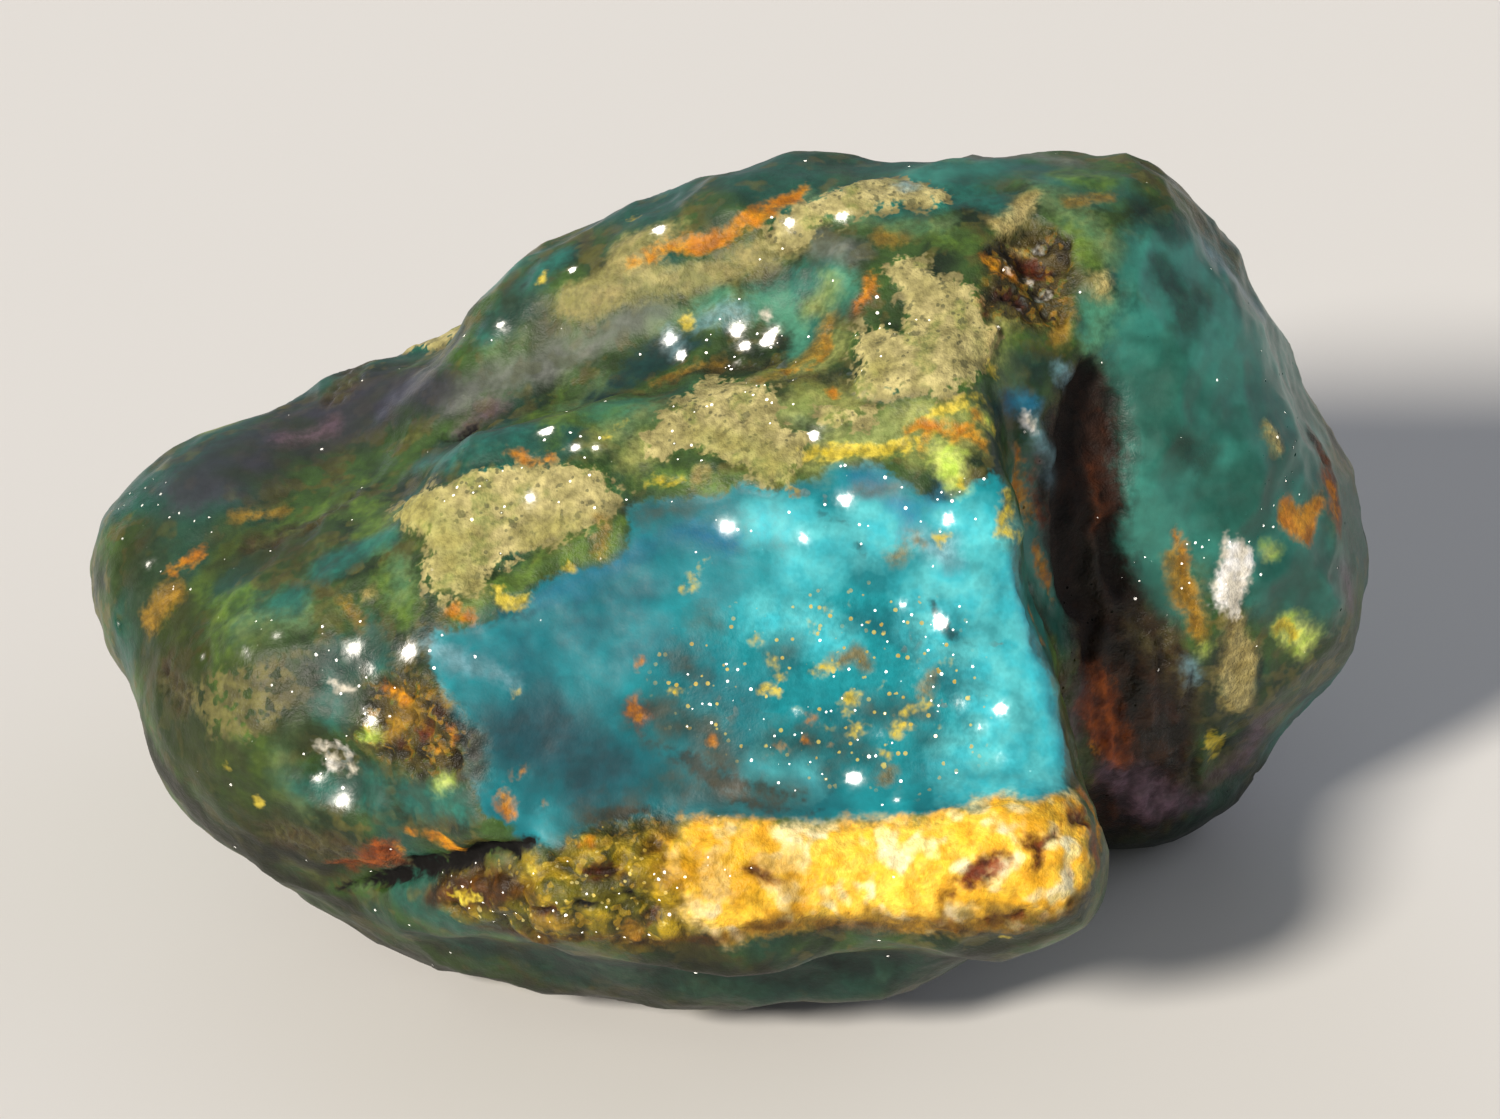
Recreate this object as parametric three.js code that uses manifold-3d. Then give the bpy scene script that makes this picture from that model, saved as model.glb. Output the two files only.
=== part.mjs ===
// A rough nugget of blue amber, lying on its flattest side.
// Millimetres, +Z up. X runs along the length, the broken blue face looks towards -Y, and the
// origin is on the resting face, under the middle of the nugget's bounding box.
//
// The form is worked out as a distance: a few round masses run into each other, broken faces cut
// them flat, ridges are added and hollows taken away. A ball of even triangles is then shrunk on
// to the surface where that distance is 0, and the underside is ground flat.
import * as THREE from "three";
import { ImprovedNoise } from "three/addons/math/ImprovedNoise.js";
import { mergeVertices } from "three/addons/utils/BufferGeometryUtils.js";
import Module from "manifold-3d";

// Driving dimensions
const LENGTH = 46; // overall, along X
const GROUND = 0; // the nugget is flat below this height
const HEART = [0, 0, 11]; // a point deep inside, that the ball is shrunk towards
const BALL_DETAIL = 21; // the ball has 20 * (BALL_DETAIL + 1)^2 triangles
const LUMP_BLEND = 1.8; // width over which two masses run into each other

// The masses: centre, half sizes and turn about X, Y and Z in degrees. A face is a broken plane
// on one mass: a point on it, its outward normal and the width over which its edge is rounded.
const LUMPS = [
  {
    name: "front block",
    at: [1.3, -4.3, 12.4],
    half: [13, 12.5, 12.5],
    turn: [0, 0, 0],
    faces: [
      { name: "cleft wall", at: [11.2, -8.8, 13.4], normal: [0.96, 0.1, 0.22], round: 0.8 },
      { name: "blue face", at: [4.3, -9.5, 14.9], normal: [0.05, -0.86, 0.5], round: 0.8 },
      { name: "crusted band", at: [0.3, -5, 19.9], normal: [-0.15, -0.5, 0.85], round: 1.4 },
      { name: "top", at: [5.3, -0.8, 22.8], normal: [-0.2, 0.4, 0.9], round: 1.6 },
    ],
  },
  { name: "crown", at: [1.4, 6.1, 17], half: [10.5, 6.6, 7.5], turn: [0, -8, 0], faces: [] },
  { name: "saddle", at: [7, 5.2, 16.5], half: [8, 7, 8.5], turn: [0, 0, 0], faces: [] },
  {
    name: "right lobe",
    at: [12, 4.8, 13.1],
    half: [9.3, 9.6, 12],
    turn: [0, 0, 0],
    faces: [
      { name: "shaded face", at: [14.9, -2.8, 11.4], normal: [0.4, -0.86, 0.3], round: 2 },
      { name: "outer face", at: [20.1, 2.2, 16.6], normal: [0.85, -0.1, 0.52], round: 2 },
    ],
  },
  { name: "right tip", at: [16.1, 5, 9.6], half: [6.9, 7, 6.6], turn: [0, 25, 0], faces: [] },
  { name: "right foot", at: [14.4, 2.7, 4.5], half: [5.2, 4.8, 4.9], turn: [0, 0, 0], faces: [] },
  {
    name: "left lobe",
    at: [-10.1, -2, 9.5],
    half: [10.4, 8.6, 7.5],
    turn: [0, -8, 0],
    faces: [
      { name: "left slope", at: [-14.2, 0.2, 15.4], normal: [-0.42, 0.12, 0.9], round: 1.5 },
    ],
  },
  { name: "left tip", at: [-16.3, 3.2, 10.3], half: [6.7, 6.2, 5.2], turn: [0, -10, 0], faces: [] },
  {
    name: "back",
    at: [0.3, 6.4, 10.4],
    half: [17, 9.2, 10.8],
    turn: [0, 0, 0],
    faces: [
      { name: "back break", at: [-5, 13.2, 11], normal: [-0.32, 0.9, 0.28], round: 1 },
      { name: "low back break", at: [6, 14, 6], normal: [0.25, 0.9, -0.35], round: 1.4 },
    ],
  },
  { name: "foot", at: [-2.7, -4.8, 4.8], half: [12, 6.2, 5.4], turn: [0, 0, 0], faces: [] },
];

// Bars that stand proud: ends, radius at each end and the width of the fillet beside them
const RIDGES = [
  { name: "golden ledge", from: [-5, -11.8, 8.8], to: [10.1, -12, 9.2], radii: [2.4, 2.7], soft: 0.8 },
  { name: "ledge tail", from: [-11, -8.6, 6], to: [-5, -11.6, 8.5], radii: [1.8, 2.3], soft: 0.8 },
  { name: "green bead", from: [7.9, -12.8, 7], to: [9.1, -12.6, 7.2], radii: [1.3, 1.2], soft: 0.8 },
  { name: "shard", from: [10.9, -1.8, 20], to: [11.5, -3.8, 17.6], radii: [0.9, 0.3], soft: 0.6 },
];

// Hollows, given the same way: the long ones first, then the pits
const HOLLOWS = [
  { name: "cleft top", from: [13.1, -1.3, 20.9], to: [13.5, -5.8, 9.4], radii: [1.2, 1.9], soft: 1.5 },
  { name: "cleft foot", from: [13.5, -5.8, 9.4], to: [14.3, -7.8, 0.4], radii: [1.9, 2.4], soft: 1.2 },
  { name: "groove", from: [-11.2, 1, 20], to: [0.3, 1.2, 24.6], radii: [2.2, 2.6], soft: 1.6 },
  { name: "neck", from: [-13, 3.6, 18.9], to: [-10.8, 8.6, 18.7], radii: [1.5, 1.7], soft: 2.2 },
  { name: "scoop", from: [-2.7, -0.2, 22.8], to: [2.3, 0.2, 24.2], radii: [2, 2], soft: 1 },
  { name: "slit", from: [-13.2, -9.4, 5.9], to: [-6.9, -13.2, 10.4], radii: [0.7, 0.7], soft: 0.5 },
  { name: "under ledge", from: [-3.7, -14.2, 4.4], to: [7.3, -14.2, 4.8], radii: [1.6, 1.8], soft: 1.2 },
  { name: "crown pit", from: [10.2, 2.4, 25], to: [10.8, 0.4, 23.8], radii: [1.2, 1], soft: 0.6 },
  { name: "frosted pit", from: [-13.8, -10, 11.4], to: [-12.9, -10.2, 11.2], radii: [1.2, 1], soft: 0.5 },
  { name: "bright pit", from: [-13, -8.3, 14.9], to: [-12, -9.7, 14], radii: [0.9, 0.8], soft: 0.4 },
  { name: "rust pit", from: [-10.9, -11, 13.9], to: [-9.4, -11.6, 12.9], radii: [1, 0.9], soft: 0.6 },
  { name: "pale pit", from: [17.7, -2.4, 12.8], to: [18.3, -3, 9.8], radii: [1, 1.3], soft: 0.6 },
];

// Waves over the whole surface: how far apart and how high
const WAVES = [
  { spacing: 6.5, height: 0.55 },
  { spacing: 2.8, height: 0.2 },
];

// How the ball is fitted
const NEAR = 0.01; // a vertex this near the surface has reached it
const CAREFUL = 0.8; // share of the distance that a vertex travels in one step
const SLOPE_STEP = 0.02; // between the two samples that a slope is taken from
const EVENING_ROUNDS = 30; // rounds of spreading the vertices evenly
const EVENING_PULL = 0.6; // share of the way to the middle of its neighbours that each one goes
const SNAP = 0.2; // vertices this near the ground are set on it
const FLIP_ROUNDS = 6; // rounds of turning edges along the creases
const FLIP_GAIN = 0.012; // how much nearer the surface a turned edge has to lie
const FLIP_STRETCH = 2.1; // how many times as long it may be
const FLIP_AREA = 0.12; // and the least area of the triangles beside it
const FLIP_BEND = 0.5; // a turned triangle still looks this much the same way

const vector = (list) => new THREE.Vector3(...list);

function turned(degrees) {
  const angles = new THREE.Euler(...degrees.map(THREE.MathUtils.degToRad));
  return new THREE.Matrix3().setFromMatrix4(new THREE.Matrix4().makeRotationFromEuler(angles));
}

function plane({ at, normal, round }) {
  const outward = vector(normal).normalize();
  return { outward, offset: vector(at).dot(outward), round };
}

function bar({ from, to, radii, soft }) {
  const start = vector(from);
  return { start, along: vector(to).sub(start), radii, soft };
}

const lumps = LUMPS.map(({ at, half, turn, faces }) => ({
  centre: vector(at),
  half: vector(half),
  unturn: turned(turn).transpose(),
  faces: faces.map(plane),
}));
const ridges = RIDGES.map(bar);
const hollows = HOLLOWS.map(bar);
const noise = new ImprovedNoise();
const noiseStart = 40; // keeps the noise clear of its mirror planes

// The lower of two distances, with the crease between them filled over a width
function softMin(a, b, width) {
  const overlap = Math.max(width - Math.abs(a - b), 0) / width;
  return Math.min(a, b) - (overlap * overlap * width) / 4;
}

const softMax = (a, b, width) => -softMin(-a, -b, width);

const local = new THREE.Vector3();
const squeezed = new THREE.Vector3();

function toLump(p, { centre, half, unturn, faces }) {
  local.copy(p).sub(centre).applyMatrix3(unturn).divide(half);
  squeezed.copy(local).divide(half);
  const reach = local.length(); // 1 on the ellipsoid
  let d = (reach * (reach - 1)) / Math.max(squeezed.length(), Number.EPSILON);
  for (const { outward, offset, round } of faces) d = softMax(d, p.dot(outward) - offset, round);
  return d;
}

function toBar(p, { start, along, radii }) {
  local.copy(p).sub(start);
  const t = THREE.MathUtils.clamp(local.dot(along) / along.lengthSq(), 0, 1);
  return local.addScaledVector(along, -t).length() - THREE.MathUtils.lerp(radii[0], radii[1], t);
}

function wave(p, { spacing, height }) {
  local.copy(p).divideScalar(spacing).addScalar(noiseStart);
  return height * noise.noise(local.x, local.y, local.z);
}

// Distance to the nugget's surface, below 0 inside
function distance(p) {
  const [first, ...others] = lumps;
  let d = toLump(p, first);
  for (const lump of others) d = softMin(d, toLump(p, lump), LUMP_BLEND);
  for (const ridge of ridges) d = softMin(d, toBar(p, ridge), ridge.soft);
  for (const hollow of hollows) d = softMax(d, -toBar(p, hollow), hollow.soft);
  for (const each of WAVES) d += wave(p, each);
  return d;
}

const probe = new THREE.Vector3();

function slope(p, out) {
  for (const axis of ["x", "y", "z"]) {
    probe.copy(p)[axis] += SLOPE_STEP;
    const ahead = distance(probe);
    probe.copy(p)[axis] -= SLOPE_STEP;
    out[axis] = (ahead - distance(probe)) / (2 * SLOPE_STEP);
  }
}

// Moves a point on to the surface along the slope, at most 1 mm at a time
const gradient = new THREE.Vector3();
const leastSlope = 0.2;

function settle(p, tries) {
  for (let i = 0; i < tries; i++) {
    slope(p, gradient);
    const steepness = Math.max(gradient.lengthSq(), leastSlope);
    p.addScaledVector(gradient, -THREE.MathUtils.clamp(distance(p) / steepness, -1, 1));
  }
}

function bareBall() {
  const ball = new THREE.IcosahedronGeometry(1, BALL_DETAIL);
  ball.deleteAttribute("normal");
  ball.deleteAttribute("uv");
  return mergeVertices(ball);
}

// Brings each vertex of the ball in from outside until it meets the nugget
function shrunk(position) {
  const heart = vector(HEART);
  return Array.from({ length: position.count }, (_, i) => {
    const inward = new THREE.Vector3().fromBufferAttribute(position, i).negate();
    const p = heart.clone().addScaledVector(inward, -LENGTH);
    for (let gap = distance(p); gap > NEAR; gap = distance(p)) {
      p.addScaledVector(inward, gap * CAREFUL);
    }
    return p;
  });
}

// Draws each vertex towards the middle of its neighbours and back on to the surface, again and
// again, until the triangles are much the same size
function spreadEvenly(points, index) {
  const neighbours = points.map(() => new Set());
  for (let i = 0; i < index.length; i += 3) {
    const [a, b, c] = index.slice(i, i + 3);
    neighbours[a].add(b).add(c);
    neighbours[b].add(a).add(c);
    neighbours[c].add(a).add(b);
  }
  const middle = new THREE.Vector3();
  for (let round = 1; round <= EVENING_ROUNDS; round++) {
    const moved = points.map((p, i) => {
      middle.set(0, 0, 0);
      for (const n of neighbours[i]) middle.add(points[n]);
      return p.clone().lerp(middle.divideScalar(neighbours[i].size), EVENING_PULL);
    });
    const tries = round < EVENING_ROUNDS ? 2 : 6;
    moved.forEach((p, i) => {
      settle(p, tries);
      points[i].copy(p);
    });
  }
}

// Turns the shared edge of two triangles wherever the other diagonal lies closer to the surface,
// so that edges run along the ridges and creases
function alignEdges(points, index) {
  const half = new THREE.Vector3();
  const triangle = new THREE.Triangle();
  const corner = (t, k) => index[3 * t + (k % 3)];
  const offSurface = (a, b) => Math.abs(distance(half.copy(points[a]).lerp(points[b], 0.5)));
  const normalOf = (a, b, c) => {
    triangle.set(points[a], points[b], points[c]);
    return triangle.getNormal(new THREE.Vector3());
  };
  const sound = (a, b, c, facing) =>
    normalOf(a, b, c).dot(facing) > FLIP_BEND && triangle.getArea() > FLIP_AREA;
  const edgeName = (a, b) => a + "," + b;

  for (let round = 0; round < FLIP_ROUNDS; round++) {
    const owner = new Map(); // each edge, in its triangle's direction, and where it stands there
    for (let t = 0; t < index.length / 3; t++) {
      for (let k = 0; k < 3; k++) owner.set(edgeName(corner(t, k), corner(t, k + 1)), [t, k]);
    }
    const changed = new Set();
    const made = new Set();
    for (const [t, k] of owner.values()) {
      const a = corner(t, k);
      const b = corner(t, k + 1);
      const [other, otherK] = owner.get(edgeName(b, a)) ?? [];
      if (a > b || changed.has(t) || changed.has(other)) continue;
      const c = corner(t, k + 2);
      const d = corner(other, otherK + 2);
      const fresh = edgeName(Math.min(c, d), Math.max(c, d));
      const stretch = points[c].distanceTo(points[d]) / points[a].distanceTo(points[b]);
      if (stretch > FLIP_STRETCH || owner.has(fresh) || made.has(fresh)) continue;
      if (offSurface(a, b) < offSurface(c, d) + FLIP_GAIN) continue;
      const facing = normalOf(a, b, c).add(normalOf(b, a, d));
      if (!sound(c, d, b, facing) || !sound(d, c, a, facing)) continue;
      index.set([c, d, b], 3 * t);
      index.set([d, c, a], 3 * other);
      changed.add(t).add(other);
      made.add(fresh);
    }
  }
}

function wrapped() {
  const ball = bareBall();
  const position = ball.getAttribute("position");
  const index = ball.index.array;
  const points = shrunk(position);
  spreadEvenly(points, index);
  for (const p of points) if (Math.abs(p.z - GROUND) < SNAP) p.z = GROUND;
  alignEdges(points, index);
  points.forEach((p, i) => position.setXYZ(i, p.x, p.y, p.z));
  return ball;
}

const wasm = await Module();
wasm.setup();

function solidOf(geometry) {
  return new wasm.Manifold(
    new wasm.Mesh({
      numProp: 3,
      vertProperties: new Float32Array(geometry.getAttribute("position").array),
      triVerts: new Uint32Array(geometry.index.array),
    }),
  );
}

// A block that holds everything above the ground
function aboveGround() {
  const size = 3 * LENGTH;
  const block = new THREE.BoxGeometry(size, size, size).translate(0, 0, GROUND + size / 2);
  block.deleteAttribute("normal");
  block.deleteAttribute("uv");
  return solidOf(mergeVertices(block));
}

// Grinds the underside flat and sets the nugget on the origin
function rested(geometry) {
  const { vertProperties, triVerts } = solidOf(geometry).intersect(aboveGround()).getMesh();
  const ground = new THREE.BufferGeometry();
  ground.setAttribute("position", new THREE.BufferAttribute(new Float32Array(vertProperties), 3));
  ground.setIndex(new THREE.BufferAttribute(new Uint32Array(triVerts), 1));
  ground.computeBoundingBox();
  const { min, max } = ground.boundingBox;
  ground.translate(-(min.x + max.x) / 2, -(min.y + max.y) / 2, -min.z);
  ground.computeVertexNormals();
  return ground;
}

const amber = new THREE.MeshStandardMaterial({ color: 0x2f7f7c, roughness: 0.35, metalness: 0 });
const nugget = new THREE.Mesh(rested(wrapped()), amber);
nugget.name = "amber_nugget";

const piece = new THREE.Group();
piece.add(nugget);
export default piece;
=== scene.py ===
# Rough blue amber, one natural lump lying on its flat side
import math
import random

import bpy
import numpy as np
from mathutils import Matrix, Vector, noise
from mathutils.bvhtree import BVHTree
from mathutils.kdtree import KDTree


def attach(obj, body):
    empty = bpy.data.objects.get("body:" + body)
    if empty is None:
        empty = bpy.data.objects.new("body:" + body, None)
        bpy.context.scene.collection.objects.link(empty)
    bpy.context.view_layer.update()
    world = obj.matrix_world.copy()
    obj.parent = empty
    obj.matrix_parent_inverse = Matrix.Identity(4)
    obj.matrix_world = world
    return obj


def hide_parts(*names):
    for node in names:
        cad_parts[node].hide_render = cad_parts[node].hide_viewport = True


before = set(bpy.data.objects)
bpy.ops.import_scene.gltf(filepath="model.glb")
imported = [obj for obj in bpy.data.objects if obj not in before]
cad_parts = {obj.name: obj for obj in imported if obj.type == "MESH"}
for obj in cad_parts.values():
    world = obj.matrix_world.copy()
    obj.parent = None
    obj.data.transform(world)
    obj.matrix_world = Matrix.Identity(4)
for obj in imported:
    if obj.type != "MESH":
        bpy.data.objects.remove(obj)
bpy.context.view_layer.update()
print("amber: frame loaded")


studio = {
    "aim": (0.65, 6.11, 8.73),       # mm, the middle of the view
    "distance": 182.0,               # mm
    "tilt": 35.0,                    # degrees that the camera looks down
    "lens": 120.0,
    "sensor": 36.0,
    "clip": (0.01, 10),              # m, the nearest and the farthest that is seen
    "floorSize": 2.4,                # m
    "floorColour": "#dad9d6",
    "floorRough": 0.8,
    "wallPower": 1.08,               # the backdrop that is seen, paler than its light
    "skyColour": "#e4e6ea",
    "skyPower": 0.26,
    # how often light may turn in all, and for each kind of surface
    "bounces": {"max": 4, "diffuse": 2, "glossy": 2, "transmission": 3},
    "lampFar": 0.5,                  # m
    # turn from the front, minus to the left, rise, and width as the stone sees it,
    # all in degrees, then power and colour
    "lamps": {
        "key": (-45, 36, 12, 4.3, "#fff6ea"),
        "back": (-165, 14, 50, 0.8, "#dfe6ff"),
        "side": (100, 22, 60, 0.5, "#e8ecff"),
    },
}


def paint(code):
    parts = [int(code[i:i + 2], 16) / 255 for i in (1, 3, 5)]
    return tuple(c / 12.92 if c <= 0.04045 else ((c + 0.055) / 1.055) ** 2.4 for c in parts)


def rgba(code):
    return (*paint(code), 1)


def wayTo(turn, rise):
    # from the stone to what stands at this turn and rise, in degrees
    turn, rise = math.radians(turn), math.radians(rise)
    flat = math.cos(rise)
    return Vector((math.sin(turn) * flat, -math.cos(turn) * flat, math.sin(rise)))


def hangLamp(name, turn, rise, width, power, colour):
    lamp = bpy.data.lights.new(name, "SUN")
    lamp.energy = power
    lamp.angle = math.radians(width)
    lamp.color = paint(colour)
    holder = bpy.data.objects.new(name, lamp)
    bpy.context.scene.collection.objects.link(holder)
    way = wayTo(turn, rise)
    holder.location = way * studio["lampFar"]
    holder.rotation_euler = (-way).to_track_quat("-Z", "Y").to_euler()


def placeCamera(scene):
    camera = bpy.data.objects.new("camera", bpy.data.cameras.new("camera"))
    scene.collection.objects.link(camera)
    back = wayTo(0, studio["tilt"]) * studio["distance"]
    camera.location = (Vector(studio["aim"]) + back) / 1000
    camera.rotation_euler = (math.radians(90 - studio["tilt"]), 0, 0)
    camera.data.lens = studio["lens"]
    camera.data.sensor_width = studio["sensor"]
    camera.data.clip_start, camera.data.clip_end = studio["clip"]
    scene.camera = camera


def layFloor():
    bpy.ops.mesh.primitive_plane_add(size=studio["floorSize"], location=(0, 0, 0))
    floor = bpy.context.object
    floor.name = "floor"
    finish = bpy.data.materials.new("pale_floor")
    finish.use_nodes = True
    shader = finish.node_tree.nodes["Principled BSDF"]
    shader.inputs["Base Color"].default_value = rgba(studio["floorColour"])
    shader.inputs["Roughness"].default_value = studio["floorRough"]
    floor.data.materials.append(finish)


def hangSky(scene):
    world = bpy.data.worlds.new("soft_sky")
    scene.world = world
    world.use_nodes = True
    nodes, links = world.node_tree.nodes, world.node_tree.links
    sky, wall = nodes["Background"], nodes.new("ShaderNodeBackground")
    for back, colour, power in ((sky, "skyColour", "skyPower"), (wall, "floorColour", "wallPower")):
        back.inputs["Color"].default_value = rgba(studio[colour])
        back.inputs["Strength"].default_value = studio[power]
    either, seen = nodes.new("ShaderNodeMixShader"), nodes.new("ShaderNodeLightPath")
    links.new(seen.outputs["Is Camera Ray"], either.inputs[0])
    links.new(sky.outputs[0], either.inputs[1])
    links.new(wall.outputs[0], either.inputs[2])
    links.new(either.outputs[0], nodes["World Output"].inputs[0])


def buildStudio(scene):
    scene.view_settings.view_transform = "Standard"
    most = studio["bounces"]
    scene.cycles.max_bounces = most["max"]
    scene.cycles.diffuse_bounces = most["diffuse"]
    scene.cycles.glossy_bounces = most["glossy"]
    scene.cycles.transmission_bounces = most["transmission"]
    placeCamera(scene)
    layFloor()
    hangSky(scene)
    for name, values in studio["lamps"].items():
        hangLamp(name, *values)


buildStudio(bpy.context.scene)
print("amber: studio ready")


stone = {
    # skin
    "weld": 0.005,           # mm, points of the solid nearer than this become one
    "voxel": 0.19,           # mm between points of the skin
    "melt": 14,              # rounds of smoothing that melt the flats of the solid
    "meltPace": 0.5,
    "underKept": 0.22,       # share of the faces kept on the underside
    "backKept": 0.5,         # and on the far side
    "flatTurn": 0.75,        # upright share of a face's normal, where it counts as level
    "backTurn": 0.35,        # backward share, where it counts as on the far side
    "seed": 23,
    # strokes
    "sheetFar": 80,          # mm from a sheet to the middle of the stone
    "reach": 1.2,            # mm, how far from a stroke its distance is kept
    "warp": 0.30,            # mm that the edges of the colours wander
    "warpSize": 1.3,         # mm, size of that wandering
    "warpFine": (2.7, 0.45),   # a second wandering, so much finer, and its share
    "dotGap": 0.34,          # mm between the dots that fill a patch
    "dotMost": 1.1,          # mm, radius of the widest dot in a patch
    "dotSpare": 0.1,         # mm that the dots pass the outline
    "dotLeast": 0.12,        # mm, smaller dots along a line come no closer
    "lineGap": 0.35,         # between the dots along a line, as a share of their radius
    "footShadeRamp": (1.5, 0.4),  # how deep the painted shade is at the foot, and its loss for a mm upwards
    # wandering lines: start within these shares of the width, the lowest and the highest point,
    # radius from and to, sway at each step, how flat they run, and how far round they may show
    "wander": {"wide": 0.85, "low": 0.8, "high": 0.85, "thin": 0.55, "thick": 1.2, "sway": 0.7,
               "flat": 0.7, "turned": -0.1},
    # relief, all in mm unless noted
    "chipSize": 3.4,         # across a glassy chip
    "chipDepth": 0.50,
    "chipMid": 0.3,          # share of the depth that lies under the skin
    "chipBend": (2.6, 0.25),   # size of the bends in its rim, and how far it bends
    "chipSmall": (2.6, 0.22),  # chips on the chips, so much finer, and their share
    "rippleSize": 1.1,
    "rippleDepth": 0.05,
    "calmRipple": 0.6,       # share of the ripples lost where the skin is rough
    "calmFace": 0.16,        # how much of the chips shows on the smooth face
    "calmFrost": 0.8,        # share of the frost lost there
    "calmEnd": 0.4,          # how much of the chips shows on the left end, which is worn round
    "leftEnd": (15.5, 18.5),   # leftwards, where that end starts and where it is in full
    "calmCrust": 0.2,        # and how much under the crust
    "shore": (-0.12, 0.18),  # depth in the strokes where their relief starts and is in full
    "foot": (0.05, 0.9),     # height where the relief starts and is in full
    # a bite is a shallow bowl, with rings that start from one side of its rim
    "biteReach": 1.6,        # of its radius
    "biteAway": (0.0, 0.35),   # turned so far from the front sheet, starts and is in full
    "biteRim": 1.25,         # how far out the bowl meets the skin, squared
    "biteBend": 0.45,        # how uneven its rim is
    "biteBendSize": 2.6,
    "ringSide": (0.3, 0.2, 1),
    "ringStart": 0.9,        # of its radius
    "ringPace": 5.0,         # rings in a bite, the more the closer
    "ringDepth": 0.022,
    "ringWaver": (1.4, 1.3, 3.0),   # how much, how often, and how much with the bends
    "biteShows": (3, 1.0, -0.4),    # field for a mm of cut, its most, and outside
    "glintShare": 0.40,      # of a glint's width that is bare
    "glintSpare": 0.08,
    # finish
    "body": {"deep": "#1d3418", "moss": "#4c7030", "olive": "#706c2c", "sea": "#276553"},
    "rough": 0.34,
    "clear": 0.48,
    "grain": 0.25,
    "ior": 1.54,
    "shine": 0.24,
    "tint": "#c9dca0",       # light that comes through the stone
    "tintDensity": 160.0,    # per metre
    "gritDepth": 0.12,       # mm
    "gritCoarse": 1.6,       # share of the coarse grit
    "wobble": (0.10, 0.06),  # mm that edges wander with the clouds mid and fine
    "ragged": (0.26, 0.15),  # the same for a ragged look
    "mottle": (-0.22, 0.17),   # how much darker and lighter the mottling goes
    "mottleCalm": 0.3,       # share of it left where the stone is smooth
    "hollow": (0.5, 0.85),   # how light the painted shade leaves the hollows, on the stone and on the gold
    "ridge": 1.16,           # how much painted light brightens the ridges
    "loose": 0.075,          # how many more flakes are loose where the stone glitters
    "mirrorRough": 0.2,      # of chips and flakes that catch the lamp
    "brokenShare": 0.4,      # how far a broken cover counts for the feel of the skin
    # mm across, of the clouds and pebbles that vary the skin
    "sizes": {"fine": 0.22, "cells": 0.42, "mid": 0.9, "blotches": 1.5, "big": 3.4, "sea": 5.2,
              "dots": 0.56, "flakes": 0.17, "grit": 0.16, "coarseGrit": 0.6},
    # where clouds and cells let a look through, from and to
    "breaks": {"cells": (0.54, 0.6), "grains": (0.44, 0.37), "lace": (0.41, 0.49),
               "blotch": (0.54, 0.64), "patchy": (0.52, 0.40)},
    # pebbles: how their tone widens them, ragged edge, and the gap from and to
    "pebbles": {"dots": (-0.34, 0.12, 0.02, -0.12), "flecks": (0.36, 0.07, 0.22, 0.12)},
    # the finest specks of a look: which tone, and from what value they show
    "specks": {"flecks": (1, 0.93), "dots": (0, 0.88)},
    # where the lamp would burn out, the skin is duller: from and to this share of its full
    # light, and at least this rough
    "glares": {"lamp": (0.82, 0.95, 0.52), "sky": (0.74, 0.92, 0.72)},
}
noise.seed_set(stone["seed"])      # or vectors of noise change from run to run


def onlySelect(thing):
    bpy.ops.object.select_all(action="DESELECT")
    thing.select_set(True)
    bpy.context.view_layer.objects.active = thing


def liftCopy(node, name):
    onlySelect(node)
    bpy.ops.object.duplicate()
    piece = bpy.context.object
    piece.name = name
    piece.data.materials.clear()
    bpy.ops.object.mode_set(mode="EDIT")
    bpy.ops.mesh.select_all(action="SELECT")
    bpy.ops.mesh.remove_doubles(threshold=stone["weld"] / 1000)
    bpy.ops.object.mode_set(mode="OBJECT")
    return piece


def fineSkin(piece):
    onlySelect(piece)
    grid = piece.modifiers.new("fine_grid", "REMESH")
    grid.mode = "VOXEL"
    grid.voxel_size = stone["voxel"] / 1000
    bpy.ops.object.modifier_apply(modifier="fine_grid")
    melt = piece.modifiers.new("melt", "SMOOTH")
    melt.factor = stone["meltPace"]
    melt.iterations = stone["melt"]
    bpy.ops.object.modifier_apply(modifier="melt")


def readVectors(piece, what):
    flat = np.empty(len(piece.data.vertices) * 3, dtype=np.float32)
    piece.data.vertices.foreach_get(what, flat)
    return flat.reshape(-1, 3).astype(np.float64)


def readPoints(piece):
    return readVectors(piece, "co") * 1000


def readNormals(piece):
    return readVectors(piece, "normal")


def writePoints(piece, points):
    piece.data.vertices.foreach_set("co", (points / 1000).astype(np.float32).ravel())
    piece.data.update()


def stoneTree(piece):
    points = [Vector(p) for p in readPoints(piece)]
    faces = [tuple(face.vertices) for face in piece.data.polygons]
    return BVHTree.FromPolygons(points, faces)


amber = liftCopy(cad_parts["amber_nugget"], "rough_amber")
fineSkin(amber)
print("amber: skin has", len(amber.data.vertices), "points")


# A stroke is drawn on a flat sheet held before the stone and dropped straight onto it.
# Sheets: turn about the upright axis, and tilt of the look downwards, both in degrees.
sheets = {
    "front": (0, 35),
    "back": (180, 20),
    "left": (-90, 15),
    "right": (90, 15),
    "top": (0, 80),
    "under": (0, -75),
}

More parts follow.
